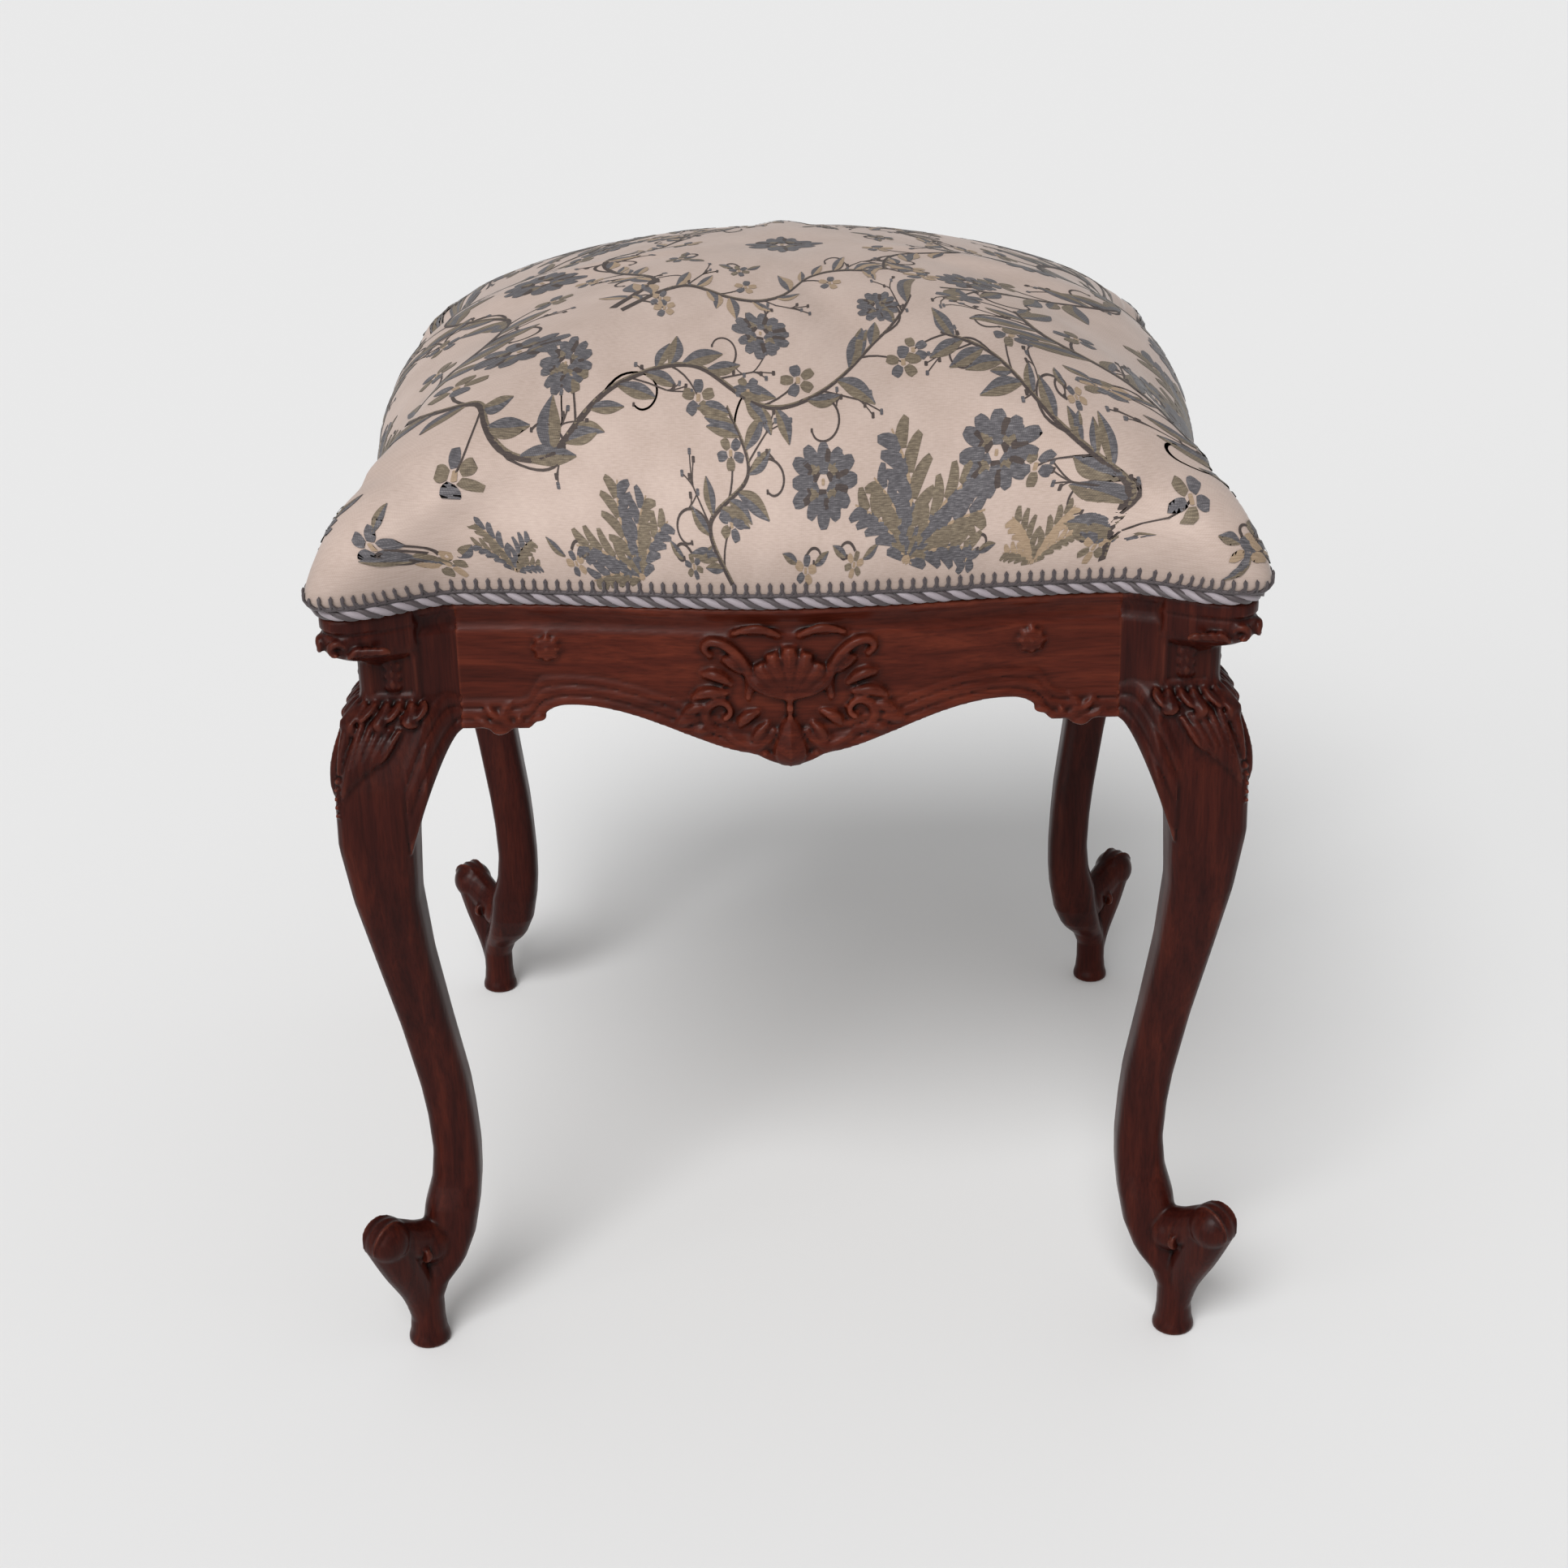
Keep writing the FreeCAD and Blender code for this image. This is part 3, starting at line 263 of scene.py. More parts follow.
cordThread = makeCordThread("twistedRayon", "#2a2426", "#8c8388", 0.2)
# Dark thread for the heading's loops, also laid in the cord's grooves as painted shade
darkThreadAndShade = makeCordThread("darkLoopThreadAndGrooveShade", "#1f1a1b", "#41383a", 0.2)
print("materials made")


# Helpers that turn a bmesh or strokes into a piece
def finishPiece(name, mesh, material, replaced):
    piece = linkObject(name, mesh)
    mesh.materials.clear()
    mesh.materials.append(material)
    mesh.shade_smooth()
    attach(piece, "root")
    if replaced:
        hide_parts(*replaced)
    return piece


def meshFrom(bm, name, scale=mm):
    bmesh.ops.scale(bm, vec=(scale, scale, scale), verts=bm.verts)
    mesh = bpy.data.meshes.new(name)
    bm.to_mesh(mesh)
    bm.free()
    return mesh


# The mesh that an object's modifiers give; the object itself goes
def evaluatedMesh(holder):
    depsgraph = bpy.context.evaluated_depsgraph_get()
    mesh = bpy.data.meshes.new_from_object(holder.evaluated_get(depsgraph), depsgraph=depsgraph)
    bpy.data.objects.remove(holder)
    return mesh


def bakeModifiers(mesh, name, modifiers):
    holder = linkObject(name, mesh)
    for kind, settings in modifiers:
        modifier = holder.modifiers.new(kind, kind)
        for key, value in settings.items():
            setattr(modifier, key, value)
    baked = evaluatedMesh(holder)
    baked.name = name
    return baked


def turnedMesh(mesh, turn):
    copy = mesh.copy()
    copy.transform(Matrix.Rotation(math.radians(90 * turn), 4, "Z"))
    return copy


def tubeCurve(radius, sides):
    curve = bpy.data.curves.new("tube", "CURVE")
    curve.dimensions = "3D"
    curve.bevel_depth = radius
    curve.bevel_resolution = sides
    return curve


def curveMesh(curve):
    holder = bpy.data.objects.new("tube", curve)
    mesh = bpy.data.meshes.new_from_object(holder)
    bpy.data.objects.remove(holder)
    bpy.data.curves.remove(curve)
    return mesh


# Adds strokes to a bmesh. A stroke is a tapered tube along a smooth line: points (a, b) or (a, b, h) in mm,
# each with its radius, and place says where such a point lies
def addStrokes(bm, strokes, place, sides, steps):
    curve = tubeCurve(1.0, sides)
    curve.use_fill_caps = True
    for points, radii in strokes:
        spline = curve.splines.new("NURBS")
        spline.points.add(len(points) - 1)
        for spot, point, radius in zip(spline.points, points, radii):
            spot.co = (point[0], point[1], point[2] if len(point) > 2 else 0.0, 1.0)
            spot.radius = radius
        spline.order_u = 3
        spline.use_endpoint_u = True
        spline.resolution_u = steps
    mesh = curveMesh(curve)
    for vertex in mesh.vertices:
        vertex.co = place(*vertex.co)
    before = len(bm.faces)
    bm.from_mesh(mesh)
    bpy.data.meshes.remove(mesh)
    bm.faces.ensure_lookup_table()
    bmesh.ops.recalc_face_normals(bm, faces=bm.faces[before:])


# Plan of the stool in mm: ears at the corners, a notch beside each, a serpentine swell between
plan = {"footHalf": 190.0, "showHalf": 210.4, "notchHalf": 191.0, "paintedCrestLight": 14.0, "cornerRadius": 12.0,
        "notchShare": 0.71, "notchInside": 0.9, "showTop": 398.0, "coverInset": 1.7,
        "coverFoot": 0.6, "postInner": 150.0, "railInner": 169.0, "halvings": 30, "stepsPerDegree": 4}


# A share from 0 to 1 that starts and ends gently
def eased(share):
    share = min(max(share, 0), 1)
    return share * share * (3 - 2 * share)


def sideReach(x, shape):
    notchPlace, cornerPlace = shape["notchPlace"], shape["half"] - shape["radius"]
    if x < notchPlace:
        swell = (1 + math.cos(math.pi * x / notchPlace)) / 2
        return shape["notch"] + (shape["middle"] - shape["notch"]) * swell
    share = (x - notchPlace) / (cornerPlace - notchPlace)
    return shape["notch"] + (shape["half"] - shape["notch"]) * eased(share)


def planShape(half, notch, middle, radius):
    notchPlace = min(plan["notchShare"] * half, plan["notchInside"] * (half - radius))
    return {"half": half, "notch": notch, "middle": middle, "radius": radius, "notchPlace": notchPlace}


def showShape(inset):
    scale = (plan["showHalf"] - inset) / plan["showHalf"]
    return planShape(plan["showHalf"] * scale, plan["notchHalf"] * scale,
                     (plan["notchHalf"] + plan["paintedCrestLight"]) * scale, plan["cornerRadius"] * scale)


# The point of a plan at an angle from mid side, from 0 to 45 degrees, on the front's right half
def planPoint(degrees, shape):
    slope = math.tan(math.radians(degrees))
    cornerPlace = shape["half"] - shape["radius"]
    if slope * shape["half"] < cornerPlace:
        low, high = 0.0, cornerPlace
        for halving in range(plan["halvings"]):
            x = (low + high) / 2
            if x < slope * sideReach(x, shape):
                low = x
            else:
                high = x
        return x, -sideReach(x, shape)
    sine, cosine = math.sin(math.radians(degrees)), math.cos(math.radians(degrees))
    across = cornerPlace * (cosine - sine)
    reach = cornerPlace * (cosine + sine) + math.sqrt(max(shape["radius"] ** 2 - across ** 2, 0))
    return reach * sine, -reach * cosine


# Any angle all round, 0 at the front's middle and counting towards the right
def roundPoint(degrees, shape):
    side = math.floor((degrees + 45) / 90)
    local = degrees - 90 * side
    x, y = planPoint(abs(local), shape)
    return Matrix.Rotation(math.radians(90 * side), 3, "Z") @ Vector((math.copysign(x, local), y, 0))


# Where evenly spaced stops fall on a line of pieces: each stop's piece and its share of that piece
def evenStops(lengths, count, ends=0):
    runs = [0.0]
    for length in lengths:
        runs.append(runs[-1] + length)
    stops, piece = [], 0
    for index in range(count + ends):
        target = runs[-1] * index / count
        while piece < len(lengths) - 1 and runs[piece + 1] < target:
            piece += 1
        stops.append((piece, (target - runs[piece]) / (runs[piece + 1] - runs[piece])))
    return stops


# The whole outline as evenly spaced points, each with its outward direction and its distance run
def evenOutline(shape, spacing):
    steps = 360 * plan["stepsPerDegree"]
    rough = [roundPoint(step / plan["stepsPerDegree"], shape) for step in range(steps)]
    lengths = [(rough[(index + 1) % steps] - rough[index]).length for index in range(steps)]
    total = sum(lengths)
    count = round(total / spacing)
    points = [rough[piece].lerp(rough[(piece + 1) % steps], share)
              for piece, share in evenStops(lengths, count)]
    outline = []
    for index, point in enumerate(points):
        ahead = points[(index + 1) % count] - points[index - 1]
        outline.append((point, Vector((ahead.y, -ahead.x, 0)).normalized(), total * index / count))
    return outline, total


# Seat cover: a crowned cushion with lobed ears, drawn in beside them, relaxed as cloth under pressure
seat = {"ear": 215.2, "side": 207.5, "rise": 118.4, "earFullness": 1.8, "sideFullness": 2.8,
        "cornerGrowth": 0.79, "cornerPower": 1.8, "earFadeLevel": 0.65, "earFadePower": 1.6,
        "notchDraw": 20.4,
        "divisions": 120, "rimRings": 4, "clothHalf": 272.0, "startLevel": 0.08, "profileSteps": 400,
        "rimPower": 1.6, "lobeRadius": 60.0, "lobePower": 10, "lobeHeight": 22.0, "lobeSwell": 4.6,
        "valleyRadius": 67.0, "valleyWidth": 7.0, "valleyDepth": 2.4,
        "puckerDepth": 1.7, "puckerCount": 29, "puckerLevel": 0.26, "puckerDrift": (2, 5),
        "puckerFade": (0.6, 0.4, 7), "outwardLift": 0.8, "fill": 0.9,
        "liningGap": 0.9, "creaseGap": 1.3, "creaseWidth": 14.0, "liningReach": 20.0, "ironing": 4,
        "pressure": 1.7, "slack": -0.006, "swellCap": 1.5, "sinkCap": 0.7, "frames": 14}
coverFoot = plan["showTop"] + plan["coverFoot"]
rimRings = seat["rimRings"]
domeRings = seat["divisions"] // 2 - rimRings
rimShape = showShape(plan["coverInset"])


def seatShape(level):
    half = seat["ear"] * math.sqrt(max(1 - level ** seat["earFullness"], 0))
    middle = seat["side"] * math.sqrt(max(1 - level ** seat["sideFullness"], 0))
    fade = max(0, 1 - (level / seat["earFadeLevel"]) ** 2) ** seat["earFadePower"]
    notch = half - seat["notchDraw"] * fade
    growth = seat["cornerGrowth"] * level ** seat["cornerPower"]
    radius = half * (plan["cornerRadius"] / plan["showHalf"] + growth)
    return planShape(half, notch, middle, radius)


# Levels evenly spaced along the side's profile, from the crown down to the upright rim
def profileLevels(count):
    spots = []
    for index in range(seat["profileSteps"] + 1):
        turn = math.pi / 2 * index / seat["profileSteps"]
        level = math.cos(turn) ** (2 / seat["sideFullness"])
        if level >= seat["startLevel"]:
            spots.append((level, math.sin(turn) * seat["side"], level * seat["rise"]))
    spots.append((seat["startLevel"], seat["side"], seat["startLevel"] * seat["rise"]))
    lengths = [math.hypot(after[1] - before[1], after[2] - before[2])
               for before, after in zip(spots, spots[1:])]
    return [spots[piece][0] + share * (spots[piece + 1][0] - spots[piece][0])
            for piece, share in evenStops(lengths, count, 1)]


domeLevels = profileLevels(domeRings)


# Angle round the seat of a point on the square cloth's ring, 0 at the front's middle
def clothAngle(s, t):
    side = math.floor((math.degrees(math.atan2(s, -t)) + 45) / 90)
    along = {0: s, 1: t, 2: -s, -2: -s, -1: -t}[side] / max(abs(s), abs(t))
    return 90 * side + 45 * along


def earCorner(point):
    return Vector((math.copysign(seat["ear"], point.x), math.copysign(seat["ear"], point.y),
                   coverFoot + seat["lobeHeight"]))


# Where a point of the square cloth (s and t from -1 to 1) lies before it relaxes
def coverPoint(s, t):
    ring = max(abs(s), abs(t)) * seat["divisions"] / 2
    if ring < 0.001:
        return Vector((0, 0, coverFoot + seat["rise"]))
    degrees = clothAngle(s, t)
    if ring <= domeRings:
        index = min(int(ring), domeRings - 1)
        level = domeLevels[index] + (ring - index) * (domeLevels[index + 1] - domeLevels[index])
        point = roundPoint(degrees, seatShape(level))
    else:
        share = (ring - domeRings) / rimRings
        level = seat["startLevel"] * (1 - share)
        point = roundPoint(degrees, seatShape(seat["startLevel"]))
        point = point.lerp(roundPoint(degrees, rimShape), share ** seat["rimPower"])
    point.z = coverFoot + level * seat["rise"]
    outward = Vector((point.x, point.y, seat["outwardLift"] * (point.z - coverFoot))).normalized()
    reach = (point - earCorner(point)).length
    swell = seat["lobeSwell"] * math.exp(-(reach / seat["lobeRadius"]) ** seat["lobePower"])
    swell -= seat["valleyDepth"] * math.exp(-((reach - seat["valleyRadius"]) / seat["valleyWidth"]) ** 2)
    turn = math.radians(degrees)
    sway, beat = seat["puckerDrift"]
    wave = max(0, math.sin(seat["puckerCount"] * turn + sway * math.sin(beat * turn))) ** 2
    base, change, slowBeat = seat["puckerFade"]
    wave *= base + change * math.sin(slowBeat * turn)
    swell -= seat["puckerDepth"] * wave * math.exp(-(level / seat["puckerLevel"]) ** 2)
    hold = min(level / seat["startLevel"], 1)
    return point + outward * swell * hold


def makeCoverGrid():
    bm = bmesh.new()
    divisions = seat["divisions"]
    bmesh.ops.create_grid(bm, x_segments=divisions, y_segments=divisions, size=1.0)
    uvLayer = bm.loops.layers.uv.new("cloth")
    for face in bm.faces:
        for loop in face.loops:
            loop[uvLayer].uv = loop.vert.co.xy * seat["clothHalf"] * mm
    hem = []
    for index, vert in enumerate(bm.verts):
        ring = max(abs(vert.co.x), abs(vert.co.y)) * divisions / 2
        if ring > domeRings - 0.5:
            hem.append(index)
        vert.co = coverPoint(vert.co.x, vert.co.y)
    bmesh.ops.recalc_face_normals(bm, faces=bm.faces)
    return meshFrom(bm, "tapestryCover"), hem


# The cloth hangs on its nailed hem, the stuffing's push is a small pressure, and the caps limit how far
# it leaves its form
def relaxCover(mesh, hem):
    holder = linkObject("clothSheet", mesh)
    holder.vertex_groups.new(name="hem").add(hem, 1.0, "REPLACE")
    cloth = holder.modifiers.new("cloth", "CLOTH")
    settings = {"quality": 5, "mass": 0.3, "tension_stiffness": 25.0, "compression_stiffness": 12.0,
                "shear_stiffness": 6.0, "bending_stiffness": 1.2, "air_damping": 6.0,
                "vertex_group_mass": "hem", "use_pressure": True, "uniform_pressure_force": seat["pressure"],
                "shrink_min": seat["slack"]}
    for name, value in settings.items():
        setattr(cloth.settings, name, value)
    cloth.settings.effector_weights.gravity = 0.0
    cloth.collision_settings.use_collision = False
    cloth.point_cache.frame_start = 1
    cloth.point_cache.frame_end = seat["frames"]
    for frameNumber in range(1, seat["frames"] + 1):
        bpy.context.scene.frame_set(frameNumber)
    relaxed = evaluatedMesh(holder)
    for vertex, rest in zip(relaxed.vertices, mesh.vertices):
        move = vertex.co - rest.co
        rise = move.dot(rest.normal)
        kept = min(max(rise, -seat["sinkCap"] * mm), seat["swellCap"] * mm)
        vertex.co = rest.co + move + rest.normal * (kept - rise)
    bpy.context.scene.frame_set(1)
    return relaxed


coverMesh, hemVertices = makeCoverGrid()
print("cover shaped")
coverMesh = relaxCover(coverMesh, hemVertices)
print("cover relaxed")


# The cloth can't sink into the lining it lies on, and the lifted places are smoothed into the rest
liningTree = BVHTree.FromObject(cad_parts["calico_lining"], bpy.context.evaluated_depsgraph_get())


def liftOffLining(mesh):
    reach = seat["liningReach"] * mm
    middle = Vector((0, 0, plan["showTop"] * mm))
    lifted = 0
    for vertex in mesh.vertices:
        outward = (vertex.co - middle).normalized()
        crease = (vertex.co / mm - earCorner(vertex.co)).length - seat["valleyRadius"]
        gap = (seat["liningGap"] + seat["creaseGap"] * math.exp(-(crease / seat["creaseWidth"]) ** 2)) * mm
        hit = liningTree.ray_cast(vertex.co + outward * reach, -outward, reach + gap)[0]
        if hit is not None:
            vertex.co = hit + outward * gap
            lifted += 1
    print("cover lifted off its lining at", lifted, "points")


liftOffLining(coverMesh)
ironed = [("SMOOTH", {"factor": 0.5, "iterations": seat["ironing"]})]
coverMesh = bakeModifiers(coverMesh, "tapestryCover", ironed)
liftOffLining(coverMesh)


# The finished grid, read by its row and column, so that the woven figures and the loops lie on it
def readGrid(mesh):
    divisions = seat["divisions"]
    layer = mesh.uv_layers["cloth"].data
    grid = [[None] * (divisions + 1) for row in range(divisions + 1)]
    reach = seat["clothHalf"] * mm
    for loop in mesh.loops:
        column, row = [round((value / reach + 1) / 2 * divisions) for value in layer[loop.index].uv]
        vertex = mesh.vertices[loop.vertex_index]
        grid[row][column] = (vertex.co / mm, vertex.normal.copy())
    return grid


coverGrid = readGrid(coverMesh)


# The place and the outward direction of a point of the flat cloth
def coverSpot(a, b):
    divisions = seat["divisions"]
    column, row = [min(max((value / seat["clothHalf"] + 1) / 2 * divisions, 0), divisions - 0.001)
                   for value in (a, b)]
    i, j = int(row), int(column)
    u, v = column - j, row - i
    corners = (coverGrid[i][j], coverGrid[i][j + 1], coverGrid[i + 1][j], coverGrid[i + 1][j + 1])
    weights = ((1 - u) * (1 - v), u * (1 - v), (1 - u) * v, u * v)
    place, normal = [sum((corner[which] * weight for corner, weight in zip(corners, weights)), Vector())
                     for which in (0, 1)]
    return place, normal.normalized()


def onCover(a, b, h):
    place, normal = coverSpot(a, b)
    return place + normal * h


cover = finishPiece("tapestryCover", coverMesh, ground, ["tapestry_cover"])
smoother = cover.modifiers.new("smooth", "SUBSURF")
smoother.levels = 1
smoother.render_levels = 1
print("seat cover made")


# Woven figures: boughs, leaf tufts, many-petalled flowers, curled tendrils and berries, drawn as flat
# strokes on the unfolded cloth, in mm from its middle
weave = {"lift": 0.2, "flatness": 0.05, "seed": 11, "serrations": 5,
         "leafShape": ((0.0, 0.15), (0.25, 0.75), (0.5, 1.0), (0.75, 0.7), (1.0, 0.08)),
         "petalRings": ((1.0, 12, ("slate", "slate")), (0.82, 11, ("line", "slate")),
                        (0.6, 8, ("slate", "olive")), (0.36, 6, ("line", "slate"))),
         "tendrilSteps": 10, "boughSteps": 6, "hemLeafAngles": (0.4, 2.6), "hemTendrilAngle": 1.57}
draw = random.Random(weave["seed"])
figures = {colour: [] for colour in figureColours}


def offsetPoint(point, angle, distance):
    return (point[0] + distance * math.cos(angle), point[1] + distance * math.sin(angle))


def addStroke(colour, points, radii):
    figures[colour].append((points, radii))


def addLine(colour, points, width, taper):
    last = len(points) - 1
    addStroke(colour, points, [width / 2 * (1 - (1 - taper) * index / last) for index in range(last + 1)])


def addDot(colour, centre, radius):
    addStroke(colour, [offsetPoint(centre, 0, -radius * 0.5), centre, offsetPoint(centre, 0, radius * 0.5)],
              [radius * 0.75, radius, radius * 0.75])


# A plain leaf: two slim halves of two tones beside a bare midrib
def addLeaf(colour, shade, root, angle, length, width):
    bend = draw.uniform(-0.35, 0.35)
    for half, tone in ((1, colour), (-1, shade)):
        points, radii = [], []
        for share, fullness in weave["leafShape"]:
            middle = offsetPoint(root, angle + bend * share, length * share)
            points.append(offsetPoint(middle, angle + math.pi / 2 * half, width * 0.25 * fullness))
            radii.append(width * 0.26 * fullness)
        addStroke(tone, points, radii)


# A cut leaf: lobes in pairs along a curved midrib, one side darker, with a light line between them
def addCutLeaf(colour, shade, root, angle, length, curl):
    rib = [offsetPoint(root, angle + curl * share, length * share) for share in (0, 0.25, 0.5, 0.75, 1.0)]
    count = weave["serrations"]
    for half, tone in ((1, colour), (-1, shade)):
        for index in range(count):
            share = (index + 0.4) / (count + 0.3)
            ahead = angle + curl * share * 2
            start = offsetPoint(root, angle + curl * share, length * share)
            reach = length * 0.34 * math.sin(math.pi * (0.22 + 0.62 * share))
            tip = offsetPoint(start, ahead + half * 0.75, reach)
            middle = offsetPoint(start, ahead + half * 0.45, reach * 0.55)
            addStroke(tone, [start, middle, tip], [length * 0.055, length * 0.085, length * 0.03])
    addLine("ochre", rib, length * 0.06, 0.3)
    return rib[-1]


def addTuft(root, angle, size, leaves, colour, shade):
    for index in range(leaves):
        spread = (index - (leaves - 1) / 2) * 2.1 / leaves
        length = size * (1 - 0.35 * abs(spread)) * draw.uniform(0.9, 1.1)
        tones = (colour, shade) if index % 2 else (shade, colour)
        addCutLeaf(tones[0], tones[1], root, angle + spread, length, 0.35 * (1 if spread > 0 else -1))
    for index in range(3):
        addDot("ochre", offsetPoint(root, angle + index - 1, size * 0.08), size * 0.05)


def addBlossom(centre, radius, petals, colour, shade):
    turn = draw.uniform(0, 1)
    for petal in range(petals):
        angle = turn + 2 * math.pi * petal / petals
        spread = radius * 2.2 / petals
        points = [offsetPoint(centre, angle, radius * share) for share in (0.28, 0.66, 1.0)]
        addStroke(colour if petal % 2 else shade, points, [spread * 0.4, spread, spread * 0.5])
    addDot("ochre", centre, radius * 0.24)


# A large flower: rings of petals, slate outside and mixed with dark and olive ones further in
def addDahlia(centre, radius):
    for ring, (reach, petals, tones) in enumerate(weave["petalRings"]):
        for petal in range(petals):
            angle = 2 * math.pi * (petal + 0.5 * (ring % 2)) / petals + draw.uniform(-0.08, 0.08)
            length = radius * reach * draw.uniform(0.9, 1.08)
            points = [offsetPoint(centre, angle, length * share) for share in (0.5, 0.8, 1.0)]
            spread = length * 3.1 / petals
            addStroke(tones[petal % 2], points, [spread * 0.6, spread, spread * 0.35])
    addDot("ochre", centre, radius * 0.09)


def addTendril(root, angle, size, hand):
    points = [root]
    for index in range(1, weave["tendrilSteps"]):
        points.append(offsetPoint(points[-1], angle + hand * 0.62 * index, size * (1 - index / 12) / 3))
    addLine("line", points, 1.4, 0.7)
    addDot("line", points[-1], 1.3)
    return points[3]


def addBerries(root, angle, count):
    for index in range(count):
        spot = offsetPoint(root, angle + draw.uniform(-0.8, 0.8), 5.5 + 3.6 * index)
        addLine("line", [root, offsetPoint(root, angle, 3), spot], 0.7, 1.0)
        addDot("slate" if index % 2 else "line", spot, 1.8)


# A smooth path through chosen bends
def smoothPath(bends):
    path = []
    for index in range(len(bends) - 1):
        before, start = bends[max(index - 1, 0)], bends[index]
        end, after = bends[index + 1], bends[min(index + 2, len(bends) - 1)]
        for step in range(weave["boughSteps"]):
            t = step / weave["boughSteps"]
            path.append([0.5 * (2 * b + (c - a) * t + (2 * a - 5 * b + 4 * c - d) * t * t
                                + (3 * b - a - 3 * c + d) * t ** 3)
                         for a, b, c, d in zip(before, start, end, after)])
    return path + [bends[-1]]


# A bough has leaves, twigs, berries and small flowers on both sides
def addBough(bends, width, leaf, colour, shade):
    path = smoothPath(bends)
    addLine("line", path, width, 0.45)
    addLine("olive", [offsetPoint(point, 1.2, width * 0.3) for point in path], width * 0.6, 0.45)
    for index in range(2, len(path) - 1):
        ahead = math.atan2(path[index + 1][1] - path[index - 1][1], path[index + 1][0] - path[index - 1][0])
        hand = 1 if index % 2 else -1
        reach = leaf * draw.uniform(0.75, 1.2)
        kind = index % 7
        if kind in (0, 1, 3, 5):
            addLeaf(colour, shade, path[index], ahead + hand * draw.uniform(0.5, 1.1), reach, reach * 0.42)
        if kind == 2:
            twig = offsetPoint(path[index], ahead + hand * 0.9, leaf * 1.1)
            bend = offsetPoint(path[index], ahead + hand * 0.6, leaf * 0.6)
            addLine("line", [path[index], bend, twig], 1.2, 0.8)
            addBlossom(twig, leaf * 0.42, 5, colour, shade)
            addLeaf(shade, colour, path[index], ahead - hand * 0.9, reach * 0.8, reach * 0.35)
        if kind == 4:
            end = addTendril(path[index], ahead + hand * 0.9, leaf * 1.5, -hand)
            addBerries(end, ahead + hand * 1.4, 2)
        if kind == 6:
            twig = offsetPoint(path[index], ahead - hand * 0.8, leaf * 0.9)
            addLine("line", [path[index], twig], 1.1, 0.8)
            addBerries(twig, ahead - hand * 0.8, 4)


# One side's figures, drawn from the hem up to the crown, then turned and mirrored on to each side
boughs = [([(-184, -168), (-142, -200), (-100, -162), (-56, -150), (-5, -172), (48, -146), (86, -100)],
           3.6, 24, "slate", "olive"),
          ([(198, -248), (184, -216), (150, -186), (126, -150), (98, -132)], 3.2, 21, "olive", "slate"),
          ([(-108, -112), (-66, -82), (-20, -96), (28, -64), (66, -70)], 3.2, 18, "slate", "ochre"),
          ([(-38, -252), (-48, -226), (-22, -204), (-34, -172)], 3.0, 19, "olive", "slate")]
tufts = [((-98, -250), 2.0, 46, 5, "slate", "olive"), ((78, -244), 1.3, 60, 6, "slate", "olive"),
         ((160, -248), 1.75, 30, 4, "olive", "ochre"), ((-176, -248), 1.3, 24, 4, "slate", "olive")]
dahlias = [((22, -208), 19), ((-132, -152), 16), ((124, -200), 20), ((-14, -122), 18), ((62, -106), 14)]
hemFlowers = [(-232, -214), (-206, -244), (-138, -244), (-62, -244), (12, -246), (44, -244), (118, -244),
              (190, -242), (236, -240), (-30, -60), (178, -166)]


def addSide(turn, hand):
    def place(point):
        a, b = hand * point[0], point[1]
        return ((a, b), (-b, a), (-a, -b), (b, -a))[turn]

    def aim(angle):
        return (angle if hand > 0 else math.pi - angle) + turn * math.pi / 2

    for bends, width, leaf, colour, shade in boughs:
        addBough([place(point) for point in bends], width, leaf, colour, shade)
    for root, angle, size, leaves, colour, shade in tufts:
        addTuft(place(root), aim(angle), size, leaves, colour, shade)
    for centre, radius in dahlias:
        addDahlia(place(centre), radius)
    for index, centre in enumerate(hemFlowers):
        spot = place(centre)
        addBlossom(spot, draw.uniform(5.5, 8.0), 5 + index % 2, ("slate", "olive")[index % 2],
                   "ochre" if index % 3 else "slate")
        for angle in weave["hemLeafAngles"]:
            addLeaf("olive", "slate", offsetPoint(spot, aim(angle), 6), aim(angle), 11, 5)
        upwards = aim(weave["hemTendrilAngle"])
        addTendril(offsetPoint(spot, upwards, 6), upwards, 12, 1 if index % 2 else -1)


for turn in range(4):
    addSide(turn, 1 if turn % 2 == 0 else -1)
addDahlia((0, 0), 20)


# The figures lie in the cloth, so they're lit as the cloth is
def weaveFigure(colour, strokes):
    bm = bmesh.new()
    addStrokes(bm, strokes, lambda a, b, h: Vector((a, b, h)), sides=0, steps=3)
    layer = bm.loops.layers.uv.new("cloth")
    for face in bm.faces:
        for loop in face.loops:
            loop[layer].uv = loop.vert.co.xy * mm
    normals = []
    for vert in bm.verts:
        place, normal = coverSpot(vert.co.x, vert.co.y)
        vert.co = place + normal * (weave["lift"] + vert.co.z * weave["flatness"])
        normals.append(normal)
    name = "wovenFigure" + colour.capitalize()
    figure = finishPiece(name, meshFrom(bm, name), figureColours[colour], [])
    figure.data.normals_split_custom_set_from_vertices(normals)


for colour, strokes in figures.items():
    weaveFigure(colour, strokes)
print("woven figures made")


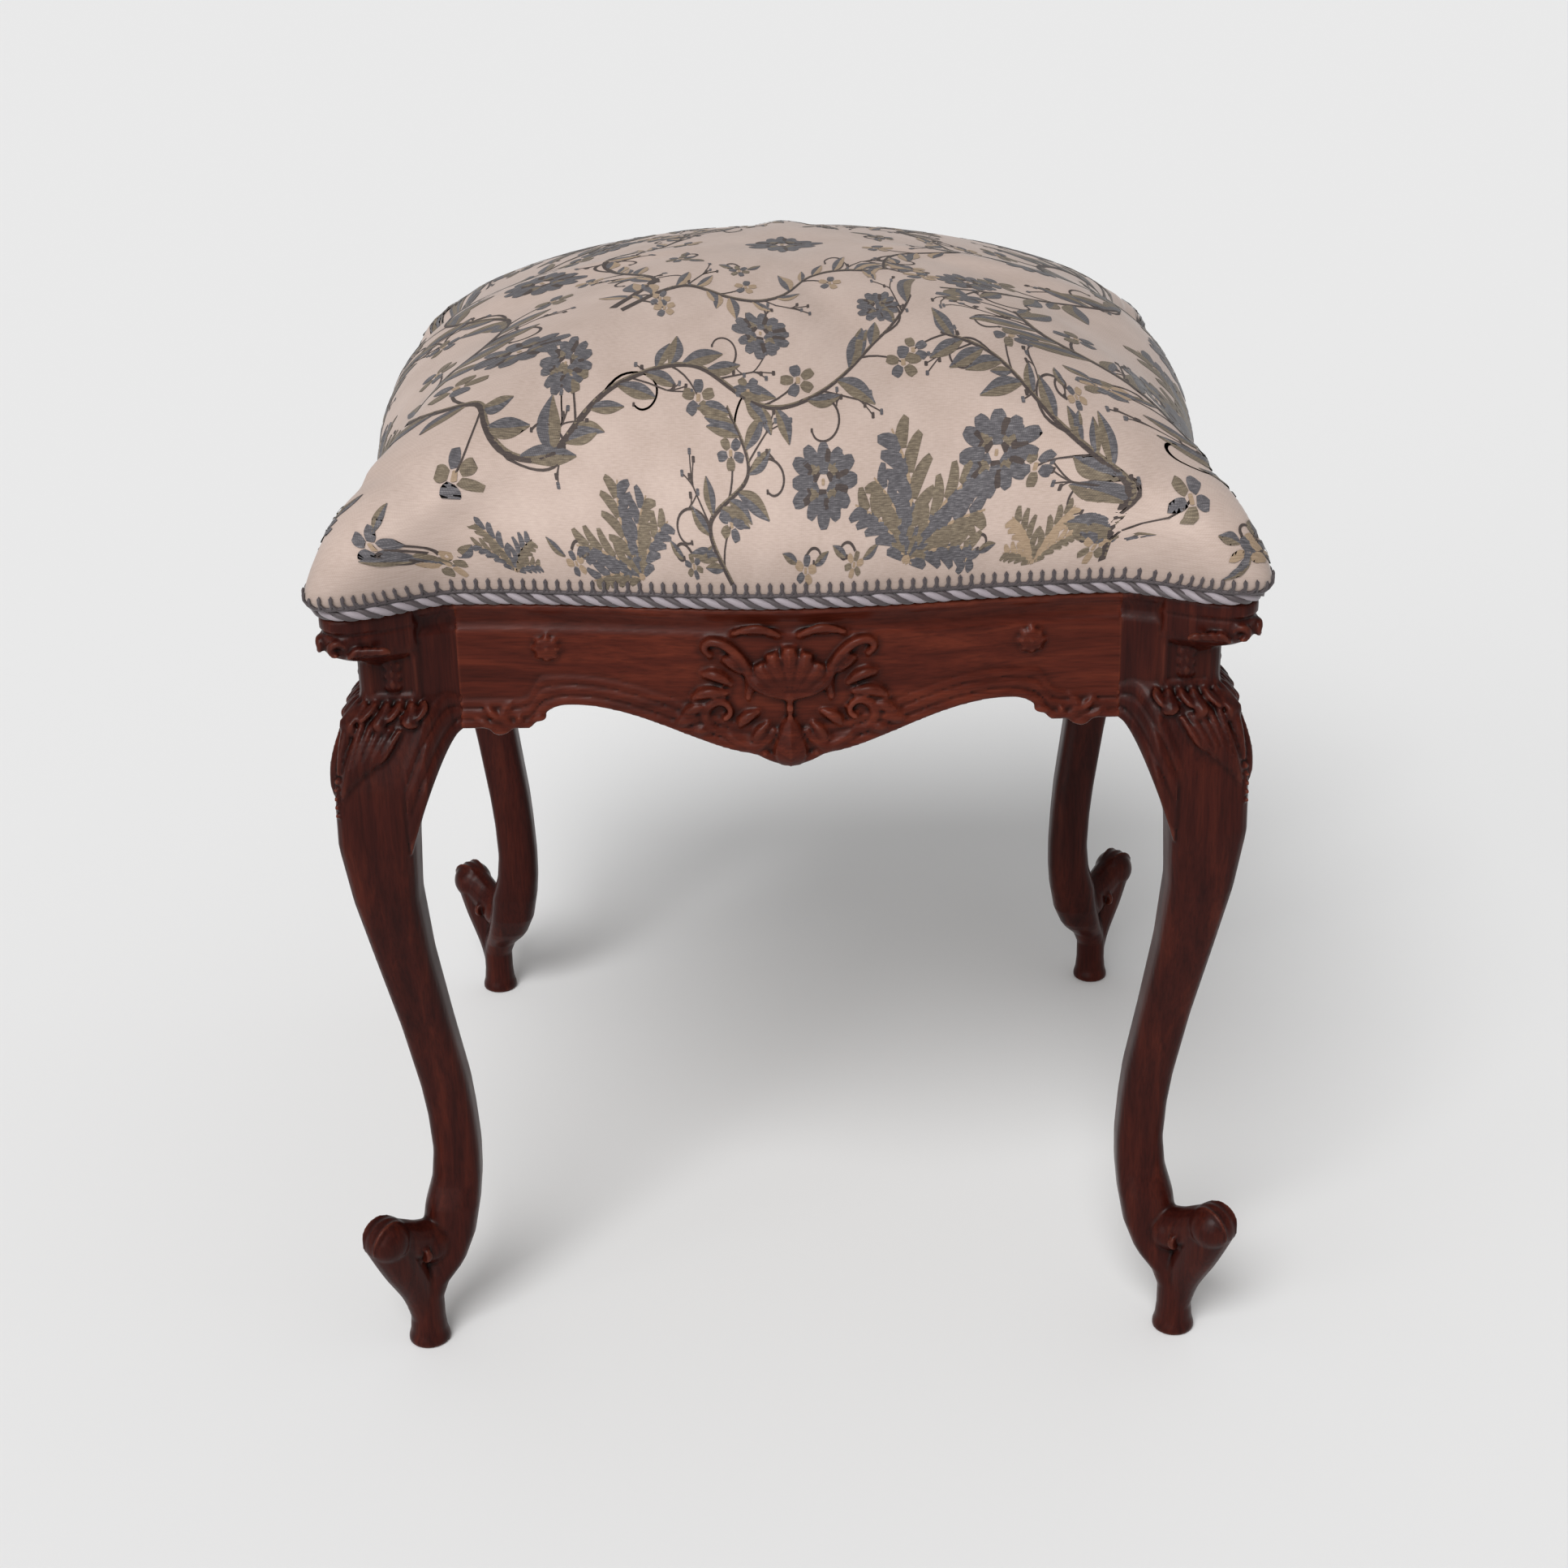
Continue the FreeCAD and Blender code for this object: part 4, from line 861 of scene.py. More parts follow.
# Trim: a cord of two strands twisted over the wood ledge, dark threads in its grooves that are also painted
# shade between the strands, and above them a heading of loops on the cover
trim = {"strandRadius": 1.7, "twistRadius": 1.4, "pitch": 22.0, "spacing": 1.2, "centreHeight": 3.2,
        "centreOut": 2.2, "grooveThread": 1.6, "grooveRadius": 1.7,
        "loopPitch": 5.2, "loopSteps": 8, "loopThread": 0.72, "loopSwing": 1.4, "loopLow": 6.4,
        "loopHigh": 12.2, "ringRun": 4.4, "loopLift": 0.5, "bandThread": 0.9, "bandHeight": 6.8,
        "bandLift": 0.3}
trimOutline, trimLength = evenOutline(rimShape, trim["spacing"])
twists = round(trimLength / trim["pitch"])


def closedTube(points, radius, sides):
    curve = tubeCurve(radius * mm, sides)
    spline = curve.splines.new("POLY")
    spline.points.add(len(points) - 1)
    for spot, point in zip(spline.points, points):
        spot.co = (*(point * mm), 1.0)
    spline.use_cyclic_u = True
    return curveMesh(curve)


def joinMeshes(meshes, name):
    bm = bmesh.new()
    for mesh in meshes:
        bm.from_mesh(mesh)
    bmesh.ops.recalc_face_normals(bm, faces=bm.faces)
    return meshFrom(bm, name, 1.0)


def twistedPoints(start, radius):
    points = []
    for point, outward, run in trimOutline:
        angle = start - 2 * math.pi * twists * run / trimLength
        centre = point + outward * trim["centreOut"] + Vector((0, 0, plan["showTop"] + trim["centreHeight"]))
        points.append(centre + outward * radius * math.cos(angle) + Vector((0, 0, radius * math.sin(angle))))
    return points


halfTurns = (0, math.pi)
strands = [closedTube(twistedPoints(start, trim["twistRadius"]), trim["strandRadius"], 2)
           for start in halfTurns]
finishPiece("twistedCord", joinMeshes(strands, "twistedCord"), cordThread, ["twisted_cord_trim"])
# Dark threads in the cord's grooves: partly a gimp, mostly painted shade between the strands
grooveShadeThreads = [closedTube(twistedPoints(start + math.pi / 2, trim["grooveRadius"]), trim["grooveThread"], 0)
           for start in halfTurns]
finishPiece("cordGrooveShadeThread", joinMeshes(grooveShadeThreads, "cordGrooveShadeThread"), darkThreadAndShade, [])


# A place on the cover's rim: a distance round the outline and a height above the ledge
def hemPoint(run, height, lift):
    count = len(trimOutline)
    share = run / trimLength * count
    index = int(share)
    point = trimOutline[index % count][0].lerp(trimOutline[(index + 1) % count][0], share - index)
    degrees = math.degrees(math.atan2(point.x, -point.y))
    side = math.floor((degrees + 45) / 90)
    along = (degrees - 90 * side) / 45
    s, t = {0: (along, -1), 1: (1, along), 2: (-along, 1), -2: (-along, 1), -1: (-1, -along)}[side]
    rimHeight = seat["startLevel"] * seat["rise"]
    ring = seat["divisions"] / 2 - rimRings * min((height - plan["coverFoot"]) / rimHeight, 1)
    ring -= max(height - plan["coverFoot"] - rimHeight, 0) / trim["ringRun"]
    reach = seat["clothHalf"] * ring / (seat["divisions"] / 2)
    return onCover(s * reach, t * reach, lift)


loops = round(trimLength / trim["loopPitch"])
loopPoints = []
for index in range(loops * trim["loopSteps"]):
    turn = 2 * math.pi * index / trim["loopSteps"]
    run = trimLength * index / (loops * trim["loopSteps"]) + trim["loopSwing"] * math.sin(turn)
    height = trim["loopLow"] + (trim["loopHigh"] - trim["loopLow"]) * (1 - math.cos(turn)) / 2
    loopPoints.append(hemPoint(run % trimLength, height, trim["loopLift"]))
bandPoints = [hemPoint(run, trim["bandHeight"], trim["bandLift"]) for point, outward, run in trimOutline]
threads = [closedTube(loopPoints, trim["loopThread"], 0), closedTube(bandPoints, trim["bandThread"], 1)]
heading = joinMeshes(threads, "loopedHeading")
finishPiece("loopedHeading", heading, darkThreadAndShade, ["looped_heading"])
print("trim made")


# Rails: a bowed board with a moulded lower edge, a cove under the ledge and carving at its middle
rail = {"columns": 220, "rows": 76, "lean": 5.0, "voxel": 1.1, "smoothing": 1, "overlap": 1.2,
        "pendantDepth": 77.5, "shoulderPlace": 16.0, "shoulderDepth": 71.5, "archPlace": 99.0,
        "archDepth": 48.5, "archFullness": 1.5, "stepPlace": 119.0, "bracketDepth": 60.5, "stepPower": 2.4,
        "rowCrowding": 1.2, "notchLean": 0.125, "leanBelow": 10.0,
        "beads": ((2.2, 2.6, 2.4), (7.4, 2.4, 1.9), (12.0, 1.8, 1.1)),
        "coveTop": 3.2, "coveWidth": 10.0, "coveDepth": 2.0, "ledgeDepth": 2.8, "ledgeProud": 0.8,
        "slopeReach": 6.0, "reliefEnd": 286.0, "reliefRun": 24.0}


def lowerDepth(x):
    x = abs(x)
    if x <= rail["shoulderPlace"]:
        share = x / rail["shoulderPlace"]
        return rail["pendantDepth"] - (rail["pendantDepth"] - rail["shoulderDepth"]) * share ** 1.8
    if x <= rail["archPlace"]:
        share = (x - rail["shoulderPlace"]) / (rail["archPlace"] - rail["shoulderPlace"])
        rise = math.sin(math.pi / 2 * share) ** rail["archFullness"]
        return rail["shoulderDepth"] + rise * (rail["archDepth"] - rail["shoulderDepth"])
    if x <= rail["stepPlace"]:
        share = (x - rail["archPlace"]) / (rail["stepPlace"] - rail["archPlace"])
        return rail["archDepth"] + (rail["bracketDepth"] - rail["archDepth"]) * share ** rail["stepPower"]
    return rail["bracketDepth"]


# How proud the moulded face stands at a height above the lower edge and a depth below the ledge
def faceRelief(above, below):
    relief = 0.0
    for centre, width, proud in rail["beads"]:
        share = abs(above - centre) / width
        if share < 1:
            relief = max(relief, proud * math.sqrt(1 - share * share))
    if rail["coveTop"] < below < rail["coveTop"] + rail["coveWidth"]:
        relief -= rail["coveDepth"] * math.sin(math.pi * (below - rail["coveTop"]) / rail["coveWidth"])
    if below < rail["ledgeDepth"]:
        relief += rail["ledgeProud"]
    return relief


def railFace(x, z, h):
    lean = rail["lean"] * (plan["showTop"] - z) / (rail["pendantDepth"] + rail["leanBelow"])
    top = showShape(0)
    notch = top["notch"] - lean * rail["notchLean"]
    shape = planShape(top["half"], notch, top["middle"] - lean, top["radius"])
    return Vector((x, -sideReach(min(abs(x), shape["notchPlace"]), shape) - h, z))


# A carved scroll winds in towards its eye and rises as it goes
def scroll(centre, radius, start, sweep, width, rise):
    points, radii = [], []
    for index in range(11):
        share = index / 10
        angle = start + sweep * share
        reach = radius * (1 - 0.8 * share)
        points.append((*offsetPoint(centre, angle, reach), rise * (0.2 + share)))
        radii.append(width * (0.4 + 0.6 * math.sin(math.pi * min(share * 1.4 + 0.1, 1.0))) + 0.7 * share)
    return points, radii


# A carved leaf lobe swells, curls a little and dives back into the ground
def lobe(root, angle, length, width, curl, rise):
    points, radii = [], []
    for share, size in ((0.0, 0.35), (0.3, 0.8), (0.6, 1.0), (0.85, 0.8), (1.0, 0.35)):
        points.append((*offsetPoint(root, angle + curl * share * share, length * share),
                       rise * math.sin(math.pi * (0.2 + 0.6 * share))))
        radii.append(width * size)
    return points, radii


def boss(x, z, radius, h):
    points = [(x - 0.4 * radius, z, h), (x, z, h + 0.3), (x + 0.4 * radius, z, h)]
    return points, [radius * 0.8, radius, radius * 0.8]


def onBothHands(strokes):
    return [([(hand * point[0], *point[1:]) for point in points], radii)
            for hand in (-1, 1) for points, radii in strokes]


# The carving of a rail: places across it and depths below its top, then turns, lengths or radii
carving = {"shellRoot": 43, "shellRibs": 7, "shellSpread": 1.25, "shellRadii": [1.6, 2.4, 3.2, 3.8, 2.8],
           "drop": ((54, 0.4, 3.0), (60, -0.4, 6.6), (67, -2.0, 9.8), (73, -1.8, 9.2), (76.8, -1.8, 6.0)),
           "pearls": ((42, 3.6), (48, 3.0), (53, 2.4)),
           "frond": ((7, 59, 1, 1.4), (12, 67, 1.6, 2.5), (20, 68, 1.6, 2.4), (28, 62, 1.2, 1.6)),
           "horn": ((19, 44, 0.6, 1.2), (17, 34, 1.6, 2.1), (21, 24, 2.0, 2.4), (29, 16, 2.4, 2.4),
                    (37, 15, 2.0, 2.0), (39, 20, 1.6, 1.6), (35, 23, 1.2, 1.4)),
           "crest": ((4, 13, 1, 1.2), (11, 9, 2.0, 2.4), (19, 9, 2.2, 2.2), (26, 12, 1.0, 1.0)),
           "leaves": ((26, 37, 0.75, 15), (28, 41, 0.2, 17), (36, 47, -0.1, 15), (41, 54, 0.1, 12),
                      (36, 60, 0.35, 9), (10, 56, -0.7, 12), (14, 50, -0.3, 12), (22, 31, 1.1, 11)),
           "buds": ((12, 71), (16.5, 70), (21, 68)), "rosetteAt": (110, 21),
           "sideScroll": (31, 51, 10.5, 4.4, 6.4, 2.0, 2.0),
           "stepScroll": (126, 55, 7.0, 1.4, -4.8, 2.0, 1.8),
           "stepLeaves": ((129, 57, 0.35, 13), (130, 60, 0.05, 16), (128, 61, -0.25, 10), (120, 57, 2.6, 9))}


# A stroke from stations across the rail: place, depth below the top, height, radius
def stationStroke(stations):
    return ([(x, plan["showTop"] - depth, h) for x, depth, h, radius in stations],
            [radius for x, depth, h, radius in stations])


# Cartouche at mid rail: a ribbed shell over a plump drop, C scrolls with round eyes and leaves each side
def cartouche():
    top = plan["showTop"]
    strokes = []
    middle = (carving["shellRibs"] - 1) / 2
    for index in range(carving["shellRibs"]):
        swing = (index - middle) / middle
        points, radii = lobe((0, top - carving["shellRoot"]), math.pi / 2 - swing * carving["shellSpread"],
                             25 - 5 * abs(swing), 1.0, 0.2 * swing, 2.4)
        strokes.append((points, carving["shellRadii"]))
    strokes.append(stationStroke([(0, *station) for station in carving["drop"]]))
    strokes += [boss(0, top - depth, radius, 1.4) for depth, radius in carving["pearls"]]
    x, depth, *turning = carving["sideScroll"]
    half = [scroll((x, top - depth), *turning)]
    half += [stationStroke(carving[part]) for part in ("frond", "horn", "crest")]
    half += [lobe((x, top - depth), angle, length, 2.9, -0.4, 1.6)
             for x, depth, angle, length in carving["leaves"]]
    half += [boss(x, top - depth, 1.7, 1.6) for x, depth in carving["buds"]]
    return strokes + onBothHands(half)


def rosette(x, z):
    petals = 8
    strokes = [lobe((x, z), 2 * math.pi / petals * index, 6.4, 1.9, 0.0, 0.9) for index in range(petals)]
    return strokes + [boss(x, z, 2.3, 1.2)]


# A ruffled leaf over the small step where the arch ends
def stepLeaf():
    top = plan["showTop"]
    x, depth, *turning = carving["stepScroll"]
    strokes = [scroll((x, top - depth), *turning)]
    for x, depth, angle, length in carving["stepLeaves"]:
        strokes.append(lobe((x, top - depth), angle, length, 2.1, 0.3, 1.6))
    return strokes


# A board between two places along the rail, its lower edge moulded; a leg may swell its face out
def boardMesh(low, high, columns, edgeDepth, swell=lambda x, z: 0.0, back=lambda z: plan["railInner"]):
    bm = bmesh.new()
    bmesh.ops.create_grid(bm, x_segments=columns, y_segments=rail["rows"], size=1.0)
    for vert in bm.verts:
        x = low + (high - low) * (vert.co.x + 1) / 2
        bottom = plan["showTop"] - edgeDepth(x)
        z = bottom + (plan["showTop"] - bottom) * ((vert.co.y + 1) / 2) ** rail["rowCrowding"]
        reach = rail["slopeReach"]
        slope = (edgeDepth(x + reach) - edgeDepth(x - reach)) / (2 * reach)
        above = (z - bottom) / math.hypot(1, slope)
        fade = min(max((z - rail["reliefEnd"]) / rail["reliefRun"], 0), 1)
        vert.co = railFace(x, z, faceRelief(above, plan["showTop"] - z) * fade + swell(x, z))
    grown = bmesh.ops.extrude_face_region(bm, geom=list(bm.faces))
    for item in grown["geom"]:
        if isinstance(item, bmesh.types.BMVert):
            item.co.y = -back(item.co.z)
    bmesh.ops.recalc_face_normals(bm, faces=bm.faces)
    return bm


def carve(bm, name, settings):
    return bakeModifiers(meshFrom(bm, name), name, [
        ("REMESH", {"mode": "VOXEL", "voxel_size": settings["voxel"] * mm}),
        ("SMOOTH", {"factor": 0.5, "iterations": settings["smoothing"]})])


def makeRailMesh():
    end = plan["postInner"] + rail["overlap"]
    bm = boardMesh(-end, end, rail["columns"], lowerDepth)
    x, depth = carving["rosetteAt"]
    z = plan["showTop"] - depth
    strokes = cartouche() + rosette(-x, z) + rosette(x, z) + onBothHands(stepLeaf())
    addStrokes(bm, strokes, railFace, sides=2, steps=4)
    return carve(bm, "railCarved", rail)


railMesh = makeRailMesh()
for turn, side in enumerate(("front", "right", "back", "left")):
    finishPiece("rail" + side.capitalize(), turnedMesh(railMesh, turn), mahogany["XYXY"[turn]],
                ["rail_" + side])
print("rails made")


# Legs: an S curve of rounded square section, a scroll toe on a peg, a carved knee and a moulded ear.
# Each station is a height, the inner and the outer face from the peg's centre, and the squareness
leg = {"voxel": 1.0, "smoothing": 1, "sides": 36, "ringStep": 4.0,
       "stations": ((26, -9, 8.5, 2.0), (34, -12, 7, 2.2), (44, -20.4, 4, 2.6), (58, -26, 1, 3.0),
                    (74, -29, -1.4, 3.4), (88, -30.4, -5.6, 3.6), (104, -30.7, -7.2, 3.8),
                    (125, -29.6, -6.2, 4.0), (143, -28, -4.2, 4.2), (180, -22.5, 1.8, 4.5),
                    (220, -17.1, 9.7, 4.8), (255, -14.4, 16.6, 5.0), (285, -15.7, 20.8, 5.0),
                    (303, -18.2, 20.6, 5.2), (315, -21, 19.8, 5.5), (325, -23, 17.8, 6.0),
                    (334, -24, 15.7, 7.0), (340, -24.5, 14, 8.0), (346, -24.5, 12, 9.0),
                    (351, -24.5, 8, 10.0), (356, -24.5, 5.6, 12.0), (398, -24.5, 5.6, 12.0)),
       "pegProfile": ((0, 9.6), (0.8, 10.5), (3.2, 10.5), (7, 9.4), (14, 8.8), (28, 8.8), (38, 7.0),
                      (46, 3.0)),
       "toePath": ((-18, 60, 9), (-6, 58.5, 10.2), (5, 60.5, 10.8), (14, 65.5, 11.2), (21, 69, 11.6)),
       "toeRoot": ((21, 67.5, 11.3), (14.5, 53, 11.2), (9, 42, 10.2), (4.5, 32, 9.3), (1.5, 22, 8.9),
                   (0, 14, 8.7)),
       "toeBall": (21.0, 69.2, 11.8), "heel": (-5.0, 56.0, 11.0), "footFlatness": 0.86,
       "ribSwings": (-0.55, 0.0, 0.55), "ribSink": 0.2,
       "toeRib": ((2.7, 0.4), (2.1, 0.9), (1.5, 1.2), (0.9, 1.3), (0.3, 1.0), (-0.3, 0.5)),
       "eye": (4.5, 56.5), "eyeBoss": 4.4, "eyeHalf": 1.5, "eyeDepth": 0.97,
       "earProfile": ((364, 15.5), (370, 15), (373, 13), (375.2, 9), (376.8, 5), (379, 1.9), (382, 0.5),
                      (386, 0.1), (389, 0.1), (390, 1.3), (391, 1.3), (392, -0.2), (396.6, -0.2), (398, 0.8)),
       "earFrom": 130.5, "earSteps": 19, "earLeafInset": 0.4,
       "slabEnd": 176.0, "slabColumns": 30, "slabDrop": 56.0, "slabPower": 1.5, "slabBehind": 2.0,
       "blendStart": 151.0, "blendRun": 17.0, "blendInset": 1.2, "cornerDrop": 2.4, "cornerRun": 8.0,
       "arrisInset": 2.2, "collarDive": (0, 0, 0.6, 2.4, 4.0), "collarThinning": (1, 1, 0.9, 0.6, 0.3)}


def legReach(z, column):
    stations = leg["stations"]
    for low, high in zip(stations, stations[1:]):
        if low[0] <= z <= high[0]:
            share = (z - low[0]) / (high[0] - low[0])
            return low[column] + share * (high[column] - low[column])
    return stations[-1][column] if z > stations[-1][0] else stations[0][column]


# A ring of the leg: a circle pushed out towards a square, the harder the higher its power
def squaredRing(bm, centre, half, power, z):
    made = bmesh.ops.create_circle(bm, segments=leg["sides"], radius=1.0)
    for vert in made["verts"]:
        x, y = vert.co.x, vert.co.y
        grow = (abs(x) ** power + abs(y) ** power) ** (-1 / power)
        vert.co = (centre + half * grow * x, centre + half * grow * y, z)
    return [edge for vert in made["verts"] for edge in vert.link_edges if edge.verts[0] == vert]


def loftRings(bm, rings):
    for lower, upper in zip(rings, rings[1:]):
        bmesh.ops.bridge_loops(bm, edges=lower + upper)
    for ring in (rings[0], rings[-1]):
        bmesh.ops.contextual_create(bm, geom=ring)


# Places on the leg: along the diagonal (out, across, up), on the outer faces, and on the outer arris
def diagonal(u, v, z):
    return Vector((plan["footHalf"] + (u + v) / math.sqrt(2), plan["footHalf"] + (u - v) / math.sqrt(2), z))


def legFace(hand, outerFace):
    def place(a, z, h):
        outer = outerFace(z)
        rounding = leg["cornerDrop"] * max(1 - a / leg["cornerRun"], 0) ** 2
        spot = (outer + h - rounding, outer - a, z)
        return Vector(spot if hand > 0 else (spot[1], spot[0], spot[2]))
    return place


def legOuter(z):
    return plan["footHalf"] + legReach(z, 2)


def legArris(a, z, h):
    outer = legOuter(z) - leg["arrisInset"]
    return Vector((outer + (h + a) / math.sqrt(2), outer + (h - a) / math.sqrt(2), z))


# Underside of the rail's run into the leg, from the joint round into the leg's inner face
def slabDepth(a):
    share = (abs(a) - plan["postInner"]) / (leg["slabEnd"] - plan["postInner"])
    return rail["bracketDepth"] + leg["slabDrop"] * max(share, 0) ** leg["slabPower"]


# The rail's face swells out to meet the leg's outer face
def slabSwell(a, z):
    share = (abs(a) - leg["blendStart"]) / leg["blendRun"]
    return eased(share) * max(legReach(z, 2) - leg["blendInset"], 0)


def addScrollFoot(bm):
    def sideways(u, z, v):
        return diagonal(u, v * leg["footFlatness"], z)

    for stations in (leg["toePath"], leg["toeRoot"]):
        path = [(u, z, 0.0) for u, z, radius in stations]
        addStrokes(bm, [(path, [radius for u, z, radius in stations])], sideways, sides=6, steps=6)
    for u, z, radius in (leg["heel"], leg["toeBall"]):
        bmesh.ops.create_uvsphere(bm, u_segments=28, v_segments=20, radius=radius,
                                  matrix=Matrix.Translation(diagonal(u, 0, z)))
    ballU, ballZ, ballRadius = leg["toeBall"]
    reach = ballRadius - leg["ribSink"]
    strokes = []
    for swing in leg["ribSwings"]:
        arc = [(ballU + reach * math.cos(turn), ballZ + reach * math.sin(turn),
                math.sin(swing) * ballRadius * (0.55 + 0.45 * math.cos(turn - 0.9)))
               for turn, radius in leg["toeRib"]]
        strokes.append((arc, [radius for turn, radius in leg["toeRib"]]))
    eyeU, eyeZ = leg["eye"]
    side = leg["toePath"][2][2] * leg["eyeDepth"]
    for hand in (1, -1):
        ends = [(eyeU + shift, eyeZ, hand * side) for shift in (-leg["eyeHalf"], leg["eyeHalf"])]
        strokes.append((ends, [leg["eyeBoss"]] * 2))
    addStrokes(bm, strokes, sideways, sides=2, steps=4)


# The run of the rail's face on to the post, seen on both outer sides of the leg
def addSlabs(bm):
    slab = boardMesh(plan["postInner"], leg["slabEnd"], leg["slabColumns"], slabDepth, slabSwell,
                     lambda z: max(plan["railInner"], plan["footHalf"] + legReach(z, 1) + leg["slabBehind"]))
    mesh = meshFrom(slab, "slab", 1.0)
    mesh.transform(Matrix.Rotation(math.pi / 2, 4, "Z"))
    bm.from_mesh(mesh)
    swapSides = Matrix(((0, 1, 0, 0), (1, 0, 0, 0), (0, 0, 1, 0), (0, 0, 0, 1)))
    mesh.transform(swapSides)
    mesh.flip_normals()
    bm.from_mesh(mesh)
    bpy.data.meshes.remove(mesh)


def addEar(bm):
    rings = []
    for z, inset in leg["earProfile"]:
        shape = showShape(inset)
        verts = [bm.verts.new(roundPoint(leg["earFrom"] + share / 2, shape) + Vector((0, 0, z)))
                 for share in range(leg["earSteps"])]
        verts.append(bm.verts.new((plan["postInner"], plan["postInner"], z)))
        rings.append([bm.edges.new((verts[index - 1], verts[index])) for index in range(len(verts))])
    loftRings(bm, rings)


# Acanthus on the knee: a ruffled collar under the neck, its long lobes sweeping down and closing on the arris
def kneeLobes():
    lobes = []
    for index in range(5):
        root = (7.5 + 4.6 * index, 346 - 0.8 * index)
        points, radii = lobe(root, -math.pi / 2 - 0.04 - 0.09 * index, 42 - 5.0 * index, 2.9, -0.05, 1.6)
        lobes.append(([(a, z, h - dive) for (a, z, h), dive in zip(points, leg["collarDive"])],
                      [radius * share for radius, share in zip(radii, leg["collarThinning"])]))
    for index in range(6):
        length, curl = ((13, 0.5), (8, -0.3))[index % 2]
        root = (3 + 5.4 * index, 354)
        lobes.append(lobe(root, -math.pi / 2 + 0.16 * (index - 2.5), length, 2.9, curl, 2.0))
    return lobes


# A framed panel on the post with three husks, one above the other
def postPanel():
    low, high, near, far = 356, 377, 5, 26
    middle = (near + far) / 2
    edges = [((near, low), (near, high)), ((far, low), (far, high)), ((near, low), (far, low)),
             ((near, high), (far, high))]
    strokes = [([(*start, 0.2), (*end, 0.2)], [1.2, 1.2]) for start, end in edges]
    for index in range(3):
        husk = (middle, low + 2.5 + 5 * index)
        strokes.append(lobe(husk, math.pi / 2, 6.5, 2.4 - 0.3 * index, 0, 1.0))
        for side in (-1, 1):
            wing = (middle, low + 2 + 5 * index)
            strokes.append(lobe(wing, math.pi / 2 - 0.8 * side, 6, 1.5, 0.3 * side, 0.8))
    return strokes


def earLeaf():
    strokes = [scroll((8, 383), 5.0, 0.4, 4.8, 1.8, 0.9)]
    for index in range(4):
        root = (13 + 3.5 * index, 379.5 + 0.8 * index)
        strokes.append(lobe(root, 0.9 - 0.15 * index, 9, 2.1, -0.4, 0.7))
    return strokes


def arrisBeads():
    strokes = [([(0, 352, 1.0), (0, 340, 1.6), (0, 322, 0.4)], [2.6, 3.4, 1.2])]
    for index in range(5):
        strokes.append(boss(0, 319 - 4.2 * index, 1.8 - 0.15 * index, 0.5))
    return strokes


def makeLegMesh():
    bm = bmesh.new()
    foot = plan["footHalf"]
    rings = []
    first = leg["stations"][0][0]
    for index in range(int((plan["showTop"] - first) / leg["ringStep"]) + 1):
        z = first + leg["ringStep"] * index
        inner, outer = legReach(z, 1), legReach(z, 2)
        rings.append(squaredRing(bm, foot + (inner + outer) / 2, (outer - inner) / 2, legReach(z, 3), z))
    loftRings(bm, rings)
    loftRings(bm, [squaredRing(bm, foot, radius, 2.0, z) for z, radius in leg["pegProfile"]])
    addScrollFoot(bm)
    addSlabs(bm)
    addEar(bm)
    for hand in (1, -1):
        earFace = legFace(hand, lambda z: plan["showHalf"] - leg["earLeafInset"])
        addStrokes(bm, kneeLobes() + postPanel(), legFace(hand, legOuter), sides=2, steps=4)
        addStrokes(bm, earLeaf(), earFace, sides=2, steps=4)
    addStrokes(bm, arrisBeads(), legArris, sides=2, steps=4)
    return carve(bm, "legCarved", leg)


legMesh = makeLegMesh()
for turn, corner in enumerate(("back_right", "back_left", "front_left", "front_right")):
    name = "leg" + "".join(word.capitalize() for word in corner.split("_"))
    finishPiece(name, turnedMesh(legMesh, turn), mahogany["Z"], ["leg_" + corner])
print("legs made")


